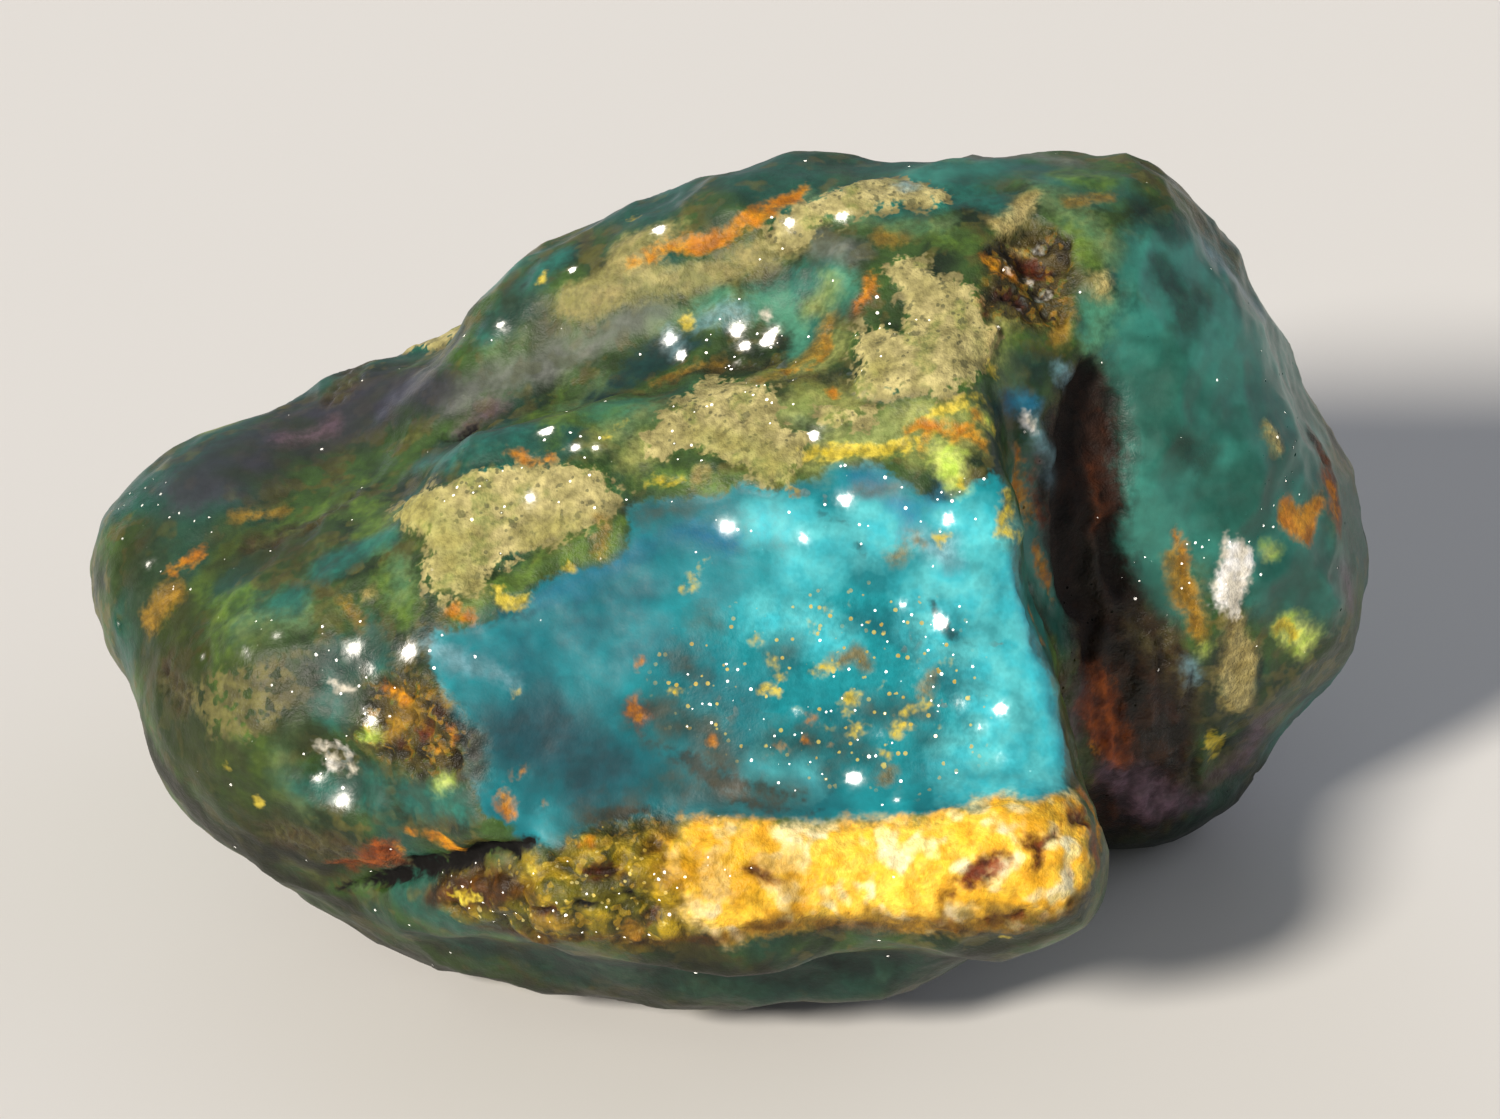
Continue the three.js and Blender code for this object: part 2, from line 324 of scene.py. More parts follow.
# patches on the front sheet: outlines of (across, up) in mm
patches = {
    "face": [[(-10.2, 8.1), (-9.2, 8.35), (-8.2, 8.3), (-7.4, 8.8), (-6.8, 9.4), (-6.1, 9.8),
        (-5, 10.3), (-4, 10.6), (-3.3, 11.2), (-3.3, 12.4), (-2.6, 12.8), (-1, 12.7), (0, 12.9),
        (1.5, 12.8), (2.4, 13.2), (3.5, 13.7), (5, 13.6), (5.8, 13.2), (6.4, 12.6), (7.6, 12.7),
        (8.6, 13.1), (9, 13.6), (9.2, 12.4), (8.9, 11.2), (9.4, 10.4), (9.9, 9), (10.2, 7.8),
        (10.7, 6.6), (11.1, 5.4), (11.2, 4), (11.1, 3.1), (10.4, 2.6), (9.6, 2.7), (8.4, 2.6),
        (7, 2.3), (5.5, 2.1), (4, 1.9), (2.5, 2), (1, 2.2), (-.5, 2.3), (-2, 2.1), (-3.4, 1.9),
        (-4.6, 1.7), (-5.6, 1.3), (-6.4, 1.2), (-7, 2), (-8.2, 2.6), (-8.6, 3.6), (-8.9, 4.8),
        (-9.3, 6.2), (-9.9, 7.2)]],
    "slate": [[(-8.7, 6.1), (-6, 6.4), (-4.4, 5.8), (-3.2, 4.8), (-2.4, 3.7), (-3.6, 2.6),
        (-5.2, 2.3), (-6.8, 3.2), (-8.3, 3.8)]],
    "gold": [[(-1.8, 1.8), (-1.4, 2.2), (-.6, 2), (.6, 1.9), (2, 1.9), (3.4, 1.8), (4.6, 2),
        (5.8, 2.1), (7, 2.3), (8, 2.6), (9, 2.9), (10, 2.6), (10.8, 2.7), (11.3, 3.1),
        (11.7, 2.6), (11.9, 1.8), (12.1, .8), (11.8, -.1), (11.1, -.8), (10.2, -1.3),
        (9.2, -1.6), (8, -1.5), (6.8, -1.7), (5.6, -1.6), (4.4, -1.4), (3.2, -1.5), (2, -1.7),
        (.8, -1.9), (-.4, -1.9), (-1.2, -1.2), (-1.6, 0), (-2.2, .8)]],
    "cleft": [[(10.5, 15.4), (11.3, 17.4), (12.6, 17.2), (13.3, 15.6), (13.5, 13), (13.4, 11),
        (14.2, 9.4), (15.4, 8), (16.2, 6), (16.4, 4), (16.8, 2.4), (15.8, 1), (13.6, .6),
        (12.5, 1.2), (12.3, 3), (12.1, 5), (11.8, 7), (11.4, 9), (10.7, 10.6), (10.3, 12),
        (10.3, 14)]],
    "earth": [[(-12, 6.3), (-11, 6.8), (-9.9, 6.7), (-9.3, 5.9), (-8.8, 4.8), (-8.9, 3.9),
        (-9.8, 3.5), (-10.8, 3.6), (-11.9, 4), (-12.6, 4.6), (-12.3, 5.6)], [(8.6, 20.6),
        (9.3, 21.6), (10.4, 22), (11.3, 21.5), (11.6, 20.3), (11.5, 19), (10.9, 18.4),
        (9.8, 18.5), (8.7, 18.9)], [(-4.8, 1.4), (-3.2, 1.9), (-2.2, 2.3), (-1.6, 1.6),
        (-2.6, .9), (-4, .9)]],
    "comb": [[(-9.8, -.3), (-8, .3), (-7, .9), (-6, .9), (-5.2, 1.4), (-4.2, 1.6), (-3.2, 1.6),
        (-2, 1.4), (-1, .6), (-.8, -.8), (-1.4, -1.9), (-3.4, -2.1), (-5, -2.1), (-7, -1.9),
        (-8.8, -1.6), (-10, -1)]],
    "crust": [[(-11.6, 12.4), (-11, 12.9), (-10.2, 13.2), (-9.2, 13.3), (-8, 13.6), (-7, 13.9),
        (-6.4, 13.8), (-5.4, 14), (-4.4, 13.8), (-3.95, 13.2), (-3.55, 12.7), (-3.9, 12.3),
        (-4.6, 11.7), (-5.6, 11.35), (-6.4, 11.1), (-7.2, 10.7), (-7.9, 10.2), (-8.6, 9.8),
        (-9, 9.2), (-9.7, 9.2), (-10.2, 9.6), (-10.3, 10.6), (-10, 11.2), (-10.5, 11.8),
        (-11.4, 12)], [(-3, 14.2), (-2.4, 15), (-1.9, 15.8), (-1.2, 16.5), (-.2, 16.9),
        (.8, 16.6), (1.6, 16.2), (1.3, 15.5), (2.4, 15), (2.4, 14.3), (2.2, 13.6), (2.1, 12.9),
        (1.5, 13), (.9, 13.5), (.2, 13.7), (-.5, 14), (-1.2, 14), (-1.6, 14.3), (-2.2, 13.9)],
        [(2.9, 15.7), (3.8, 15.9), (4.6, 15.9), (5, 15.5), (4.7, 15.1), (4, 15.3), (3.4, 14.9),
        (3.1, 15.1)], [(4.3, 16.1), (4, 16.6), (4.3, 17.3), (4, 18.2), (4.9, 18.6), (5.8, 18.5),
        (5.9, 19.2), (5.5, 19.9), (5.3, 20.4), (5.5, 20.9), (6.2, 20.9), (7, 20.4), (7.7, 20.1),
        (8.3, 19.8), (8.4, 19), (9, 18.4), (9.2, 17.9), (8.6, 17.3), (8.2, 16.8), (7.4, 16.1),
        (6.6, 16.2), (5.6, 16)]],
    "drab": [[(-6.3, 19.2), (-6, 20), (-4.6, 20.6), (-4.2, 21.5), (-3.8, 22), (-2.8, 22.3),
        (-1.5, 22.3), (-2.2, 21.5), (-2.6, 20.8), (-1.6, 20.8), (0, 21.2), (1.2, 21.7),
        (2.4, 21.6), (2.6, 21.2), (1.4, 20.8), (.4, 20.3), (-.6, 20), (-2, 19.8), (-4, 19.4),
        (-5.3, 18.9)]],
    "duff": [[(-18.6, 6.2), (-17.4, 6.8), (-16.2, 7.1), (-15.4, 7.4), (-14.6, 6.6), (-14.9, 5.7),
        (-15.6, 5), (-16.2, 4.7), (-16.9, 4.9), (-17.6, 4.5), (-17.8, 5.2), (-18.3, 5.6)]],
    # bloom: painted sky reflection, a lavender-grey sheen on the upper left slope
    "skySheen": [[(-20.6, 13), (-19, 12.1), (-17.5, 12.5), (-15.5, 13.3), (-14, 14.2), (-12, 15.1),
        (-10.4, 15.7), (-9.2, 16.2), (-8.6, 16.8), (-10, 17.3), (-12, 17.6), (-14, 17),
        (-16, 16.2), (-18, 15.2), (-19.6, 14.2)]],
    "flecks": [[(-2.2, 7.6), (-.6, 8.6), (2, 9.4), (5, 9.8), (7.6, 8.4), (8.6, 6.4), (8.4, 4.4),
        (6.4, 3.2), (3.4, 3.4), (1, 4), (-1, 5), (-2.4, 6.2)]],
    "deepTeal": [[(-5.2, 16.3), (-4, 16.9), (-3.2, 17.8), (-2.6, 18.4), (0, 18.4), (-2, 17.4),
        (-3, 16.7), (-3.6, 16.3), (-5, 16)]],
}

# lines on the front sheet: (across, up, radius) in mm
lines = {
    "olive": [[(-20.5, 11, 1.4), (-19.6, 8, 2), (-18.2, 4.4, 2.2), (-15.8, 1.6, 1.8),
        (-13, .4, 1.2)], [(-17.4, 10.8, 1.3), (-15, 11, 1)], [(-16.4, 6.8, 1.4),
        (-14.6, 4.6, 1)], [(-7.6, 19.6, .8), (-6.4, 18.6, .6)]],
    "wheat": [[(-1.6, .4, 1.2), (.4, .2, 1.4), (1.4, .4, 1), (2.2, -.6, .6)], [(7.6, -.5, .5),
        (9.2, -.3, .6), (10.4, .1, .3)], [(9.6, 2.2, .35), (10.8, 2.2, .3)]],
    "char": [[(-10.2, -.9, .4), (-9.2, -.5, .7), (-8, -.3, .75), (-6.8, -.3, .4)],
        [(-8.4, -1.8, .3), (-5, -2, .3), (-1, -1.9, .3), (2, -1.5, .4), (5, -1.4, .45),
        (8, -1.4, .5), (10.4, -1.2, .4), (11.8, -.4, .2)]],
    "sage": [[(-3.4, 13.9, .4), (-2.6, 14.5, .5)], [(.6, 14.4, .5), (2.6, 14, .5),
        (4.4, 14.6, .7), (6.4, 15.4, .7), (7.8, 15.4, .5)], [(1.2, 15.4, .6), (2.6, 16, .7),
        (4.2, 16, .6)], [(1.4, 16.9, .4), (2.8, 17.4, .5), (3.6, 18, .4)], [(-4.6, 14.7, .3),
        (-4, 14.9, .3)], [(6, 14.3, .4), (8, 14.6, .4)], [(8.8, 17.6, .4), (9.3, 18.6, .3)],
        [(2.9, 19.2, .35), (3.4, 20, .3)]],
    "lagoon": [[(-8.6, 7.3, .7), (-6.8, 7.9, 1.2), (-4.8, 8.6, 1.3), (-3.2, 9.6, 1.1),
        (-2.3, 11, .8)], [(-3.2, 7.6, .8), (-1.2, 7.2, .6)], [(-.6, 10, .5)]],
    "lobeTeal": [[(14.5, 18, 2), (17, 18, 2.2), (19, 15, 2.4), (18, 12, 2.6), (20.5, 10, 2)],
        [(14.2, 15, 1.6), (14, 12.5, 1.7), (14.6, 10.5, 1.4), (15.5, 9, .9)], [(14.5, 20.5, 1.6),
        (16, 21, 1.4), (17.5, 19.5, 1.3)], [(4.6, 23.4, .9), (7.4, 23.9, 1), (10.6, 24.2, .9),
        (13, 23.4, .8)], [(-8.2, 20.4, .5), (-6.8, 21.4, .5)], [(16.6, 15.5, 2.6)]],
    "moss": [[(-8.9, 8.7, .3), (-8, 9.5, .45), (-7, 10.1, .45), (-6, 10.5, .45), (-5, 10.9, .4),
        (-4.2, 11.2, .4), (-3.7, 11.7, .3)], [(-6.2, 15.4, .5), (-4.6, 15.5, .6),
        (-3.2, 16, .4)], [(-3.3, 13.2, .3), (-2.2, 13.4, .35), (-1, 13, .3), (.2, 13.2, .3),
        (1, 13.1, .25)], [(11.6, 22.2, .6), (12, 21.2, .6), (12.2, 20.8, .4)], [(11.6, 24, .7),
        (12.8, 23.6, .6)], [(6.5, 21.8, .4), (7.5, 21.6, .45), (8.4, 21.2, .4)],
        [(11.8, 18.9, .5), (12, 18.2, .45)], [(-17, 9, 1.1), (-16.4, 3.2, 1.4)], [(-19, 8.5, .9),
        (-17.5, 11, .5), (-14.5, 12, .5), (-12.6, 13.3, .4)], [(-11.5, 10, .8), (-10.8, 9, .6)],
        [(-14, 12.4, .6), (-12.2, 12.2, .8), (-12, 11.2, .6)], [(9.3, 17.8, .3),
        (9.6, 18.3, .3)], [(-5.9, 17.2, .2), (-6, 14.6, .25)]],
    "teal": [[(-13.5, 10.6, .9), (-11.8, 11.4, .6)], [(-13, 7.4, .6), (-13.5, 5.7, .7)],
        [(-11.7, 7.2, .5), (-12.2, 8.4, .4)], [(-10.5, 2.7, .8), (-9, 2.5, .6)], [(-11.8, 3, .6),
        (-14.6, 3, .5)], [(-15.2, 9.3, .8)], [(-8.4, 18.6, .6), (-7.2, 20, .7), (-6, 21.2, .6)],
        [(1.2, 19.6, .5), (3.4, 20.4, .8), (3.8, 19.4, .6)], [(2.8, 18.5, .6), (2.2, 17.8, .45)],
        [(5.5, 22.6, .5), (6.4, 22.9, .6), (8, 23.2, .8), (9.2, 22.8, .6)], [(4.6, 14.8, .3),
        (5.4, 15, .3)], [(1.2, 15.7, .3), (2.3, 15.6, .35)], [(4.9, 16.5, .3), (5.4, 16.2, .3)],
        [(12, 18.6, .4), (12.1, 19.2, .3)], [(-9.4, 14.3, .6), (-10.6, 14, .5)],
        [(-7.3, 14.9, .6), (-8.3, 14.6, .4)]],
    # dusk: painted shade along the foot of the stone and under the ledge
    "footShade": [[(-21.5, 6, .8), (-20, 3.6, 1.1), (-18, 1.4, 1.2), (-15.5, -.3, 1.1),
        (-13, -1.4, .9)], [(-16.8, .8, 1), (-14, .2, .8)], [(-10, -2.6, .8), (-4, -3, 1),
        (2, -3, 1), (8, -2.8, .8), (11, -1.6, .5)]],
    "inkGreen": [[(-13.6, 7.4, .5), (-12.8, 7, .7), (-11.9, 7.6, .5)], [(-12.9, 5.4, .4),
        (-12.2, 5.9, .5)], [(-9.4, 15, .4), (-10, 14.8, .3)], [(-18.3, 13.3, .25),
        (-17.2, 13.7, .3), (-16.5, 14, .22)], [(15, 20.5, .8), (15.6, 18.8, .6), (16, 19.6, .5)],
        [(15.4, 14.7, .5), (16.2, 14, .35)], [(.5, 22.9, .3), (-.6, 22.6, .2)], [(9.6, 17.2, .5),
        (10.8, 16.9, .5)], [(14, 22.8, .6), (15.2, 21.9, .6)], [(-6.8, 19.8, .3)],
        [(6.1, 13.8, .06), (6.6, 13.5, .12), (6.9, 13.1, .2), (7.2, 13, .12)], [(6.3, 13, .08),
        (6.8, 13.1, .15), (6.9, 13.5, .08)], [(8, 15.7, .18), (7.4, 15.5, .12)], [(-7.8, 19, .4),
        # the last two strokes here lie under the ledge, where the dark green is also painted shade
        (-7, 19.6, .4)], [(-6, -3.2, 1.2), (0, -3.4, 1.4), (6, -3.2, 1.2)], [(-12, -1.6, .7),
        (-8.6, -2.6, .8)]],
    # pewter: painted grey sky reflection along the groove between crown and band, on the crown's
    # top and at the face's top edge
    "greySheen": [[(-10, 16.3, .5), (-8, 16.9, .6), (-6, 17.5, .6), (-4, 18.6, .55),
        (-2.4, 19.3, .35)], [(8.5, 24.4, .4), (10.5, 24.7, .4), (12, 24.5, .3)],
        [(3.2, 21.3, .5), (4.3, 21, .4)], [(4.4, 12.9, .2), (5.6, 13, .3)]],
    "cyan": [[(9.1, 10.5, .5), (9.5, 9.2, .7), (9.9, 7.6, .7), (10.3, 6, .7), (10.7, 4.6, .6),
        (10.4, 3.5, .6)], [(10.2, 3.4, .6), (8.8, 3.1, .5), (7.4, 3.1, .3)], [(.9, 11.9, .4),
        (2.2, 11.7, .55), (3.2, 11.4, .5)], [(1.2, 8.8, .5), (2.6, 8.4, .6), (3.6, 7.8, .4)],
        [(4.4, 12.1, .5), (5.4, 11.8, .5)], [(2.4, 10.4, .6), (3, 10.4, .4)], [(7.2, 10.2, .9),
        (8.2, 9.4, .8)], [(8.4, 7.6, .8), (9, 6.9, .8)], [(8.8, 5.6, .9), (9, 4.4, .9),
        (7.4, 4.2, .5)], [(8.6, 11.4, .8), (7.4, 11.8, .8)], [(6.4, 9.6, .6), (6.8, 7.8, .6)],
        [(4.4, 11.4, .5), (6, 11.4, .6)], [(1.1, 3.7, .4), (1.9, 3.3, .35), (2.6, 3.5, .3)]],
    "jade": [[(.9, 19.2, .5), (1.8, 19.2, .7), (2.3, 18.6, .5), (2.2, 17.9, .35)],
        [(3.6, 19.9, .8)], [(-.6, 19.5, .4)], [(-4.4, 15.7, .6), (-3.4, 15.9, .5)],
        [(3, 22.4, .5)], [(12.5, 19.1, .35), (12.2, 18.2, .35)]],
    "lichen": [[(-11.4, 12.3, .5), (-10.2, 12.3, .7), (-9.4, 11.4, .8), (-9.2, 10.2, .6),
        (-8.6, 9.6, .4)], [(-.8, 14.6, .6), (.6, 14.4, .6), (1.8, 13.6, .5)], [(-5.4, 11.7, .4),
        (-6.6, 11.3, .4)], [(8.4, 17.8, .4)], [(4.8, 17, .4)]],
    "seaBlue": [[(-1.8, 11.6, .4), (-.8, 11.3, .5), (0, 11.1, .4)], [(-6.3, 9.2, .3),
        (-5.6, 9.5, .35), (-4.6, 9.9, .2)], [(-4.5, 10.2, .25), (-3.4, 10.8, .35),
        (-2.5, 11.1, .3)], [(4.3, 13.3, .35), (4.9, 13.1, .35)], [(6.5, 12.6, .2),
        (7, 12.9, .25)], [(9.3, 16, .35), (10.1, 15.9, .38)], [(6, 12, .3), (5.6, 12.4, .3)]],
    # mist: the strokes along the right lobe's edge are a painted sky reflection and those in the
    # crown's pocket a painted halo round the glints; the rest is the stone's pale blue-grey
    "mistAndSheen": [[(-10.2, 7.8, .3), (-9, 7.3, .35), (-8, 6.9, .25), (-7.2, 6.6, .12)],
        [(16.4, 21.6, .3), (17.2, 20.7, .4), (17.8, 19.9, .35), (18.5, 19, .3)],
        [(10.2, 15.3, .25), (10.5, 14.4, .22), (10.9, 13.5, .2), (11.1, 13, .1)],
        [(11.2, 16.9, .28)], [(15.9, 7.1, .25), (16.1, 6.4, .2)], [(6.2, 11.3, .4),
        (7.2, 10.9, .5)], [(6, 23.4, .25)], [(-.8, 18.9, .3), (.2, 19, .35)], [(-2.2, 18.3, .25),
        (-1.7, 18, .2)]],
    "mud": [[(-8.5, 4.6, .5), (-8.4, 3.5, .5), (-9, 4, .4)], [(-16.5, 11.2, .4),
        (-14.6, 11.7, .4), (-13, 12.6, .35)], [(-19.4, 6.6, .5), (-18.6, 5.9, .55)],
        [(11.1, 21.4, .3), (10.2, 21.9, .25), (9.6, 21.2, .35), (10.5, 20.8, .35)],
        [(8.9, 19.4, .45), (9.6, 19.1, .45), (9, 19.9, .25)], [(10.9, 19.1, .3)],
        [(1.6, 16.7, .25), (2.6, 16.9, .35), (3.3, 16.8, .3)], [(-3, 16.3, .2),
        (-1.5, 16.9, .28), (0, 17.3, .28), (1, 17.2, .2)], [(10.1, 9.9, .25), (10.6, 8.8, .35),
        (11.1, 7.4, .35), (11.5, 6, .32), (11.7, 4.6, .3), (11.7, 3.6, .2)], [(14.2, 8.2, .7),
        (15.3, 7.2, .6), (16.2, 5.4, .4)], [(16.2, 3, .4), (16.6, 2.4, .3)], [(-13.4, .8, .8),
        (-15.6, 1.2, .5)]],
    # mauve: violet-brown of the stone at the cleft's foot and low on the right lobe; on the upper
    # left slope and in the crown's pits it is a painted violet sky reflection
    "mauve": [[(13.2, 3.4, .7), (14.2, 2.9, .8), (15, 1.9, .7), (16.6, 2, .4)], [(18.9, 4.9, .6),
        (18.2, 3.4, .5), (17.4, 3.1, .3)], [(21.8, 9.4, .6), (21.5, 10.4, .35)],
        [(-9.2, 15.4, .25), (-8, 16, .3)], [(-15.8, 14.9, .3), (-14.2, 15.3, .3)],
        [(11, 20.7, .22), (10.7, 20.1, .2)], [(-7.3, .4, .35)], [(12.2, 6, .25), (12, 4.8, .25)]],
    "frost": [[(-13.8, 3.9, .3), (-13.3, 4.1, .5), (-12.8, 4, .3)], [(2.4, 12.9, .2),
        (3.1, 12.9, .25)], [(10.6, 20.5, .3), (9.7, 19.7, .25), (10.9, 19.3, .25)],
        [(1, 17.5, .25), (1.6, 17.2, .3), (2, 16.8, .2)], [(-.2, 5.6, .4), (-.6, 5.9, .3)],
        [(5.8, 7.7, .3), (6.1, 8, .2)], [(9, 7.9, .18)], [(7.6, 5.9, .22), (6.9, 6, .22)],
        [(3.7, 17.2, .1), (4, 16.6, .2), (4.4, 16.2, .1)]],
    # chalk: white mineral on the right lobe and white frosting on the left lobe; the thin arc on
    # the left lobe and the dots in the crown's pocket and brown pits are painted sparkle highlights
    "chalkAndSparkle": [[(-13.75, 4.3, .16)], [(-13.2, 4.45, .2), (-12.9, 4.2, .16)],
        [(-13.45, 3.75, .18)], [(-12.7, 3.7, .12)], [(-13.9, 6.7, .05), (-13.2, 6.35, .08),
        (-12.8, 6.25, .05)], [(1.1, 18.9, .14)], [(.3, 17.4, .12)], [(17.2, 11.2, .3),
        (17.4, 10.5, .65), (17.3, 9.8, .6), (17.1, 9.3, .4)], [(10.2, 20.2, .1)],
        [(10.7, 19.6, .1)], [(9.8, 19.3, .09)], [(10.4, 21.2, .09)], [(9.4, 20.6, .08)],
        [(17.3, 9.1, .2), (17.4, 8.7, .25)], [(10, 15.5, .2), (10.2, 15.2, .15)]],
    "tan": [[(-1, 13.4, .26)], [(-12.2, 9.5, .22)], [(9.2, 22, .35), (9.9, 22.5, .42),
        (10.4, 23, .28)], [(12.7, 20.4, .25), (12.55, 20, .34), (12.5, 19.6, .2)],
        [(10, 21.3, .2)], [(17.4, 8.5, .45), (17.6, 7.5, .75), (17.7, 6.5, .9),
        (17.9, 5.8, .65)], [(18.6, 15.1, .25), (18.9, 14.5, .25)], [(8.9, 18.6, .2),
        (8.7, 17.6, .3)]],
    "ochre": [[(3.6, 7.3, .2), (4, 7.5, .28), (4.4, 7.1, .18)], [(5.6, 10.85, .2)],
        [(6.2, 11.2, .16)], [(5.3, 3.4, .22), (5, 3.2, .12)], [(6.7, 6.75, .18),
        (6.4, 6.35, .22)], [(-13, 9.2, .2), (-12.5, 8.6, .16)], [(-4.3, 10.95, .18),
        (-4.3, 11.8, .14)], [(-19.2, 9.5, .4), (-20, 8.6, .5)], [(-10, 6.3, .12),
        (-9.4, 6.2, .16), (-9.3, 5.7, .12)], [(-10.6, 5.6, .25), (-11.4, 4.8, .3)],
        [(1, 16.6, .12), (2.2, 17.3, .2), (3, 17.9, .22), (3.3, 18.8, .16)], [(-2.6, 16.6, .1),
        (-1.4, 17.05, .15), (-.4, 17.3, .12)], [(11.7, 23, .2), (12.4, 23.2, .25),
        (13, 23.1, .18)], [(11, 18.2, .25), (11.4, 19, .16)], [(5.1, 21.6, .25),
        (5.7, 21.5, .22)], [(8, -1.2, .3), (8.8, -.9, .35), (9.5, -1.1, .25)],
        [(3.4, -1.25, .25), (4.6, -1.05, .3), (5, -1.3, .2), (5.8, -1.5, .2), (6.4, -1.4, .25)],
        [(-3.3, -1.6, .2), (-3, -1.5, .15)], [(-6.5, -1.2, .3), (-5.6, -1.4, .25)],
        [(-17, 12.2, .25), (-15.6, 12.4, .2)], [(15.2, 10.9, .3), (15.8, 9.6, .45),
        (16.2, 8.2, .45)]],
    "yellow": [[(-1.05, 10, .24)], [(-1, 10.2, .15), (-.92, 10.55, .04)], [(-1.1, 9.85, .14),
        (-1.45, 9.8, .05)], [(3.2, 8.9, .1)], [(4.6, 8.9, .1)], [(4.1, 9.2, .07)],
        [(2.6, 8.4, .09)], [(.8, 8.1, .1)], [(1.45, 7.35, .12), (1.75, 6.95, .1)],
        [(1.2, 6.4, .1), (1.6, 6.45, .11)], [(2.8, 6.8, .1), (3.2, 7.05, .1)], [(3.8, 6.1, .17),
        (4.1, 5.95, .14)], [(3.9, 5.6, .12)], [(3.3, 5.2, .09)], [(5, 6.4, .1)], [(4.4, 5, .18),
        (4.6, 5.2, .12)], [(5.2, 4.3, .1)], [(6.4, 6, .09)], [(6.9, 5.2, .08)], [(5.6, 4.9, .12),
        (5.9, 5.2, .13)], [(5.9, 5.6, .08)], [(2.2, 5.8, .08)], [(6.1, 7.4, .09)],
        [(-1.6, 6.35, .12), (-2, 6.4, .1)], [(-7.2, 6.4, .1)], [(7.35, 7.25, .1)],
        [(7.05, 11.2, .2)], [(-7.5, 9.25, .16), (-7, 9.2, .2), (-6.8, 9.4, .12)],
        [(-7.7, 9.65, .1)], [(-5.3, 10.45, .16)], [(-2.7, 13.3, .16), (-1.6, 13.25, .12)],
        [(2.6, 14.2, .2), (3.4, 14.15, .26), (4.4, 14.2, .2), (5.6, 14.4, .16),
        (6.2, 14.6, .12)], [(-4.2, 14.8, .12), (-3.4, 15.2, .12)], [(-1.4, 18.9, .22)],
        [(8.7, 17, .25)], [(8.8, 14.95, .2)], [(7.8, 13.1, .18)], [(6.6, 15.5, .1),
        (7.6, 15.8, .15), (8.3, 16.1, .1)], [(9.1, 12.8, .18), (9.2, 12.1, .26),
        (9.1, 11.5, .24), (9.5, 11.3, .12)], [(-16.1, 2.4, .2)], [(-17.2, 3.9, .1)],
        [(17, 4.5, .28), (17.2, 3.8, .24)], [(19.3, 8.25, .22), (19.8, 7.95, .28)],
        [(-9.3, -.6, .12), (-8.6, -.55, .12)], [(-6.5, .3, .1)], [(-5.4, -.8, .12)],
        [(-5, .2, .1)], [(9, -1.9, .1)], [(-6.6, 20.4, .2)], [(-3.4, 22.6, .2)]],
    "lime": [[(7.3, 14, .42), (7.6, 13.3, .4), (7, 14.3, .3)], [(19.6, 8.2, .55),
        (20.2, 7.7, .55)], [(18.6, 11, .25)], [(-9.4, 3.3, .22), (-9.7, 3, .15)],
        [(8.6, 15.2, .22)], [(16.4, 7.6, .18)], [(-12, 4.8, .2)]],
    "orange": [[(-11.3, 6.2, .25), (-10.9, 5.9, .22)], [(-9.2, 4.7, .1), (-9.7, 4.4, .08)],
        [(-9.9, 1.3, .3), (-9.4, 1.1, .38), (-9, .9, .25)], [(-11.1, .8, .16)],
        [(-10.7, 1.5, .12)], [(3.2, 18.4, .08), (3.1, 17.8, .16), (2.6, 17.2, .12),
        (1.8, 17.05, .08)], [(3.3, 16.35, .2)], [(6.1, 15, .14), (7, 15.05, .2), (8, 14.8, .2),
        (8.4, 14.5, .1)], [(8.2, 15.4, .15), (8.5, 15.2, .12)], [(6.4, 14.4, .1),
        (6.6, 14.9, .1)], [(-3.4, 20.9, .2), (-2, 21.5, .25), (0, 21.9, .28), (1, 22.4, .28),
        (1.9, 23, .28), (2.5, 23.4, .2)], [(8.9, 20.7, .25), (9.4, 20.4, .24),
        (9.8, 20.15, .16)], [(9.6, 14.6, .1), (9.75, 13.6, .2), (9.9, 13, .26),
        (10.05, 12.3, .22), (10, 11.6, .12)], [(10.3, 11.1, .1), (10.5, 10.5, .2),
        (10.7, 10, .2), (11, 9.2, .12)], [(-7, 14.2, .12), (-6.3, 14.1, .12)], [(19.4, 12.3, .5),
        (20, 11.9, .6), (20.6, 12.6, .4)], [(15.1, 11.7, .14), (15.6, 10.8, .2), (15.8, 10, .22),
        (15.9, 9, .3), (16.1, 8.3, .2)], [(11.7, 2.9, .2), (12.3, 2, .26), (12.4, 1, .22)],
        [(12.5, 4.3, .12)], [(-9.1, 8.9, .2), (-8.65, 8.7, .18)], [(-7.3, 14.3, .2)],
        [(-6.2, 14.1, .1)], [(-19.2, 10.4, .18), (-18.5, 10.8, .18)], [(-3.25, 6.1, .06),
        (-3.1, 5.7, .12), (-2.9, 5.4, .13)], [(5, 20.4, .12), (4.8, 19.8, .2), (4.5, 19.2, .12)],
        [(2.4, 4.7, .12)], [(1.5, 4.3, .15)], [(3.5, 4.5, .12)], [(-.6, 4.5, .14)],
        [(2.75, 5.4, .1)], [(-7.35, 2.9, .24), (-7.1, 2.4, .2)], [(-7, 3.6, .12),
        (-6.8, 3.75, .08)], [(-6.2, 2.6, .1)], [(-4.6, 1.2, .2)], [(-3.2, -1.6, .15)],
        [(-3, 7.2, .15)], [(21.1, 13, .25), (21.2, 12.5, .2)]],
    "ember": [[(-12.9, .3, .3), (-12.2, .6, .45), (-11.6, .9, .4), (-11.2, .5, .25)],
        [(12.9, 6.6, .25), (13.1, 5.6, .35), (13.4, 4.6, .3)], [(20.9, 13.6, .35),
        (21.2, 12.8, .4), (21.3, 12, .3)], [(-3.2, 6.1, .08), (-3.05, 5.7, .16),
        (-2.8, 5.3, .16)], [(12.3, 5.6, .35), (12.9, 4.6, .45), (13.5, 3.7, .3)],
